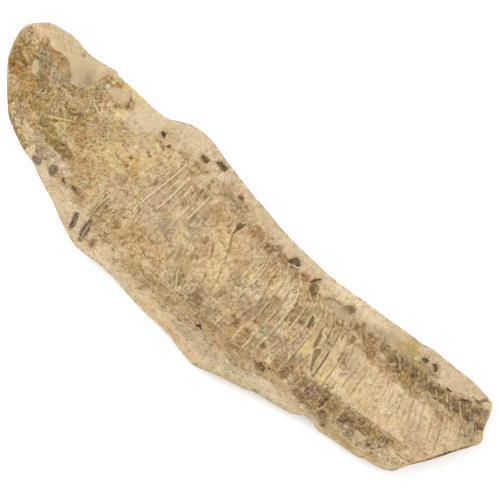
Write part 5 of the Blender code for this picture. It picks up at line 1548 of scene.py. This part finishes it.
def carry_values(data):
    """Shapes the mesh and leaves on it the values that the materials read."""
    u, v, face, x, y, place, relief, broken = carry_onto_stone(data)
    put_colours(data, "stain", scale_colours(x, y, place, stone_colours(x, y)))
    fish = fish_share(x, y)
    calm = ease(x, 100, 25) * ease(y, -14, 5) * ease(-y, -28, 8)
    low = ease(scute_top(x) - y, 0, 3) * ease(y - scute_foot(x), -3, 3) * ease(x, -75, 15)
    under_back = ease(y - back_margin(x), -14, 5) * ease(x, -60, 40)
    broken_up = np.maximum(ease(-x, 130, 30), ease(x, 110, 20) * (1 - calm))
    broken_up = np.maximum(broken_up, 0.5 * np.maximum(low, under_back))
    bone = fish * (0.3 + 0.7 * broken_up) * (1 - 0.85 * calm)
    rows = 2 * math.pi * (y + 1.3 * lumps(x, y, 15, 171)) / 2.3
    put_triples(data, "tissue", liveliness(x, y), bone, rows)
    put_triples(data, "scales", place, scale_share(x, y), groove_share(x, y))
    # read by the face material as painted shade in low places and painted highlight on raised ones
    put_values(data, "hollow", relief_shading_share(u, v, face, relief))
    belly_share = ease(scute_foot(x) - y, -1, 3) * ease(y - belly_margin(x), 0, 3)
    belly_share *= ease(x, -75, 15) * ease(-x, -70, 20)
    put_values(data, "belly", belly_share)
    carry_growth(data, x, y, place)
    piece_colour, piece_share, piece_depth, piece_grain = fragments(x, y)
    put_colours(data, "piece_colour", piece_colour)
    put_triples(data, "piece", piece_depth, piece_share, piece_grain)
    line_colour, line_share, line_side, line_half = fine_lines(x, y)
    put_colours(data, "line_colour", line_colour)
    put_triples(data, "line", line_side, line_half, line_share)
    # the broken tail end: darker stone of the break and painted shade of its wall
    put_values(data, "fracture_and_shade", broken * ease(y, -22, 12) * ease(-y, -34, 14))
    return face


def build_slab():
    """The split nodule, with the face and the rind in one mesh."""
    mesh = cage()
    data = bpy.data.meshes.new("split_nodule")
    mesh.to_mesh(data)
    mesh.free()
    face = carry_values(data)
    data.shade_smooth()
    groups = {
        "grain": limestone_grain(),
        "tints": mineral_tints(),
        "specks": mineral_specks(),
        "stripe": ragged_stripe(),
        "flakes": rock_flakes(),
    }
    data.materials.append(split_face_material(groups))
    data.materials.append(rind_material(groups))
    on_face = np.array([all(face[i] for i in polygon.vertices) for polygon in data.polygons])
    data.polygons.foreach_set("material_index", np.where(on_face, 0, 1).astype(np.int32))
    slab = bpy.data.objects.new("split_nodule", data)
    bpy.context.scene.collection.objects.link(slab)
    return slab


slab = build_slab()
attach(slab, "root")
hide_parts(NODE)

# ---------------------------------------------------------------- floor, light and camera

FLOOR_COLOUR = (0.93, 0.93, 0.93, 1.0)
FLOOR_HALF = 4
FLOOR_DROP = 0.0003  # below the foot, so that the two don't flicker
WORLD_LIGHT = 0.84
floor_mesh = bmesh.new()
bmesh.ops.create_grid(floor_mesh, x_segments=1, y_segments=1, size=FLOOR_HALF)
floor_data = bpy.data.meshes.new("floor")
floor_mesh.to_mesh(floor_data)
floor_mesh.free()
floor = bpy.data.objects.new("floor", floor_data)
floor.location = (0, 0, -FLOOR_DROP)
paper, _, paper_shader = new_material("floor_paper")
paper_shader.inputs["Base Color"].default_value = FLOOR_COLOUR
paper_shader.inputs["Roughness"].default_value = 0.95
floor_data.materials.append(paper)
bpy.context.scene.collection.objects.link(floor)

world = bpy.data.worlds.new("studio")
world.use_nodes = True
world.node_tree.nodes["Background"].inputs["Color"].default_value = (1, 1, 1, 1)
world.node_tree.nodes["Background"].inputs["Strength"].default_value = WORLD_LIGHT
bpy.context.scene.world = world


def soft_box(name, place, size, power):
    """A square area light aimed at the middle of the stone."""
    lamp = bpy.data.lights.new(name, "AREA")
    lamp.size = size
    lamp.energy = power
    lit = bpy.data.objects.new(name, lamp)
    lit.location = place
    lit.rotation_euler = Vector(place).to_track_quat("Z", "Y").to_euler()
    bpy.context.scene.collection.objects.link(lit)


soft_box("key", (-1.05, 0.3, 1.35), 1.1, 21.9)
soft_box("fill", (0.3, 0.2, 2.0), 1.6, 17)

VIEW_TURN = math.radians(41.6)
VIEW_MIDDLE = (0.00663, 0.02598)
VIEW_WIDTH = 0.3875
VIEW_LEVEL = 0.025  # the height at which the view is as wide as VIEW_WIDTH
LENS, SENSOR = 100, 36
camera_data = bpy.data.cameras.new("camera")
camera_data.lens = LENS
camera_data.sensor_width = SENSOR
camera = bpy.data.objects.new("camera", camera_data)
camera.location = (*VIEW_MIDDLE, VIEW_LEVEL + VIEW_WIDTH * LENS / SENSOR)
camera.rotation_euler = (0, 0, VIEW_TURN)
bpy.context.scene.collection.objects.link(camera)
bpy.context.scene.camera = camera
bpy.context.scene.view_settings.view_transform = "Standard"

bpy.context.view_layer.update()
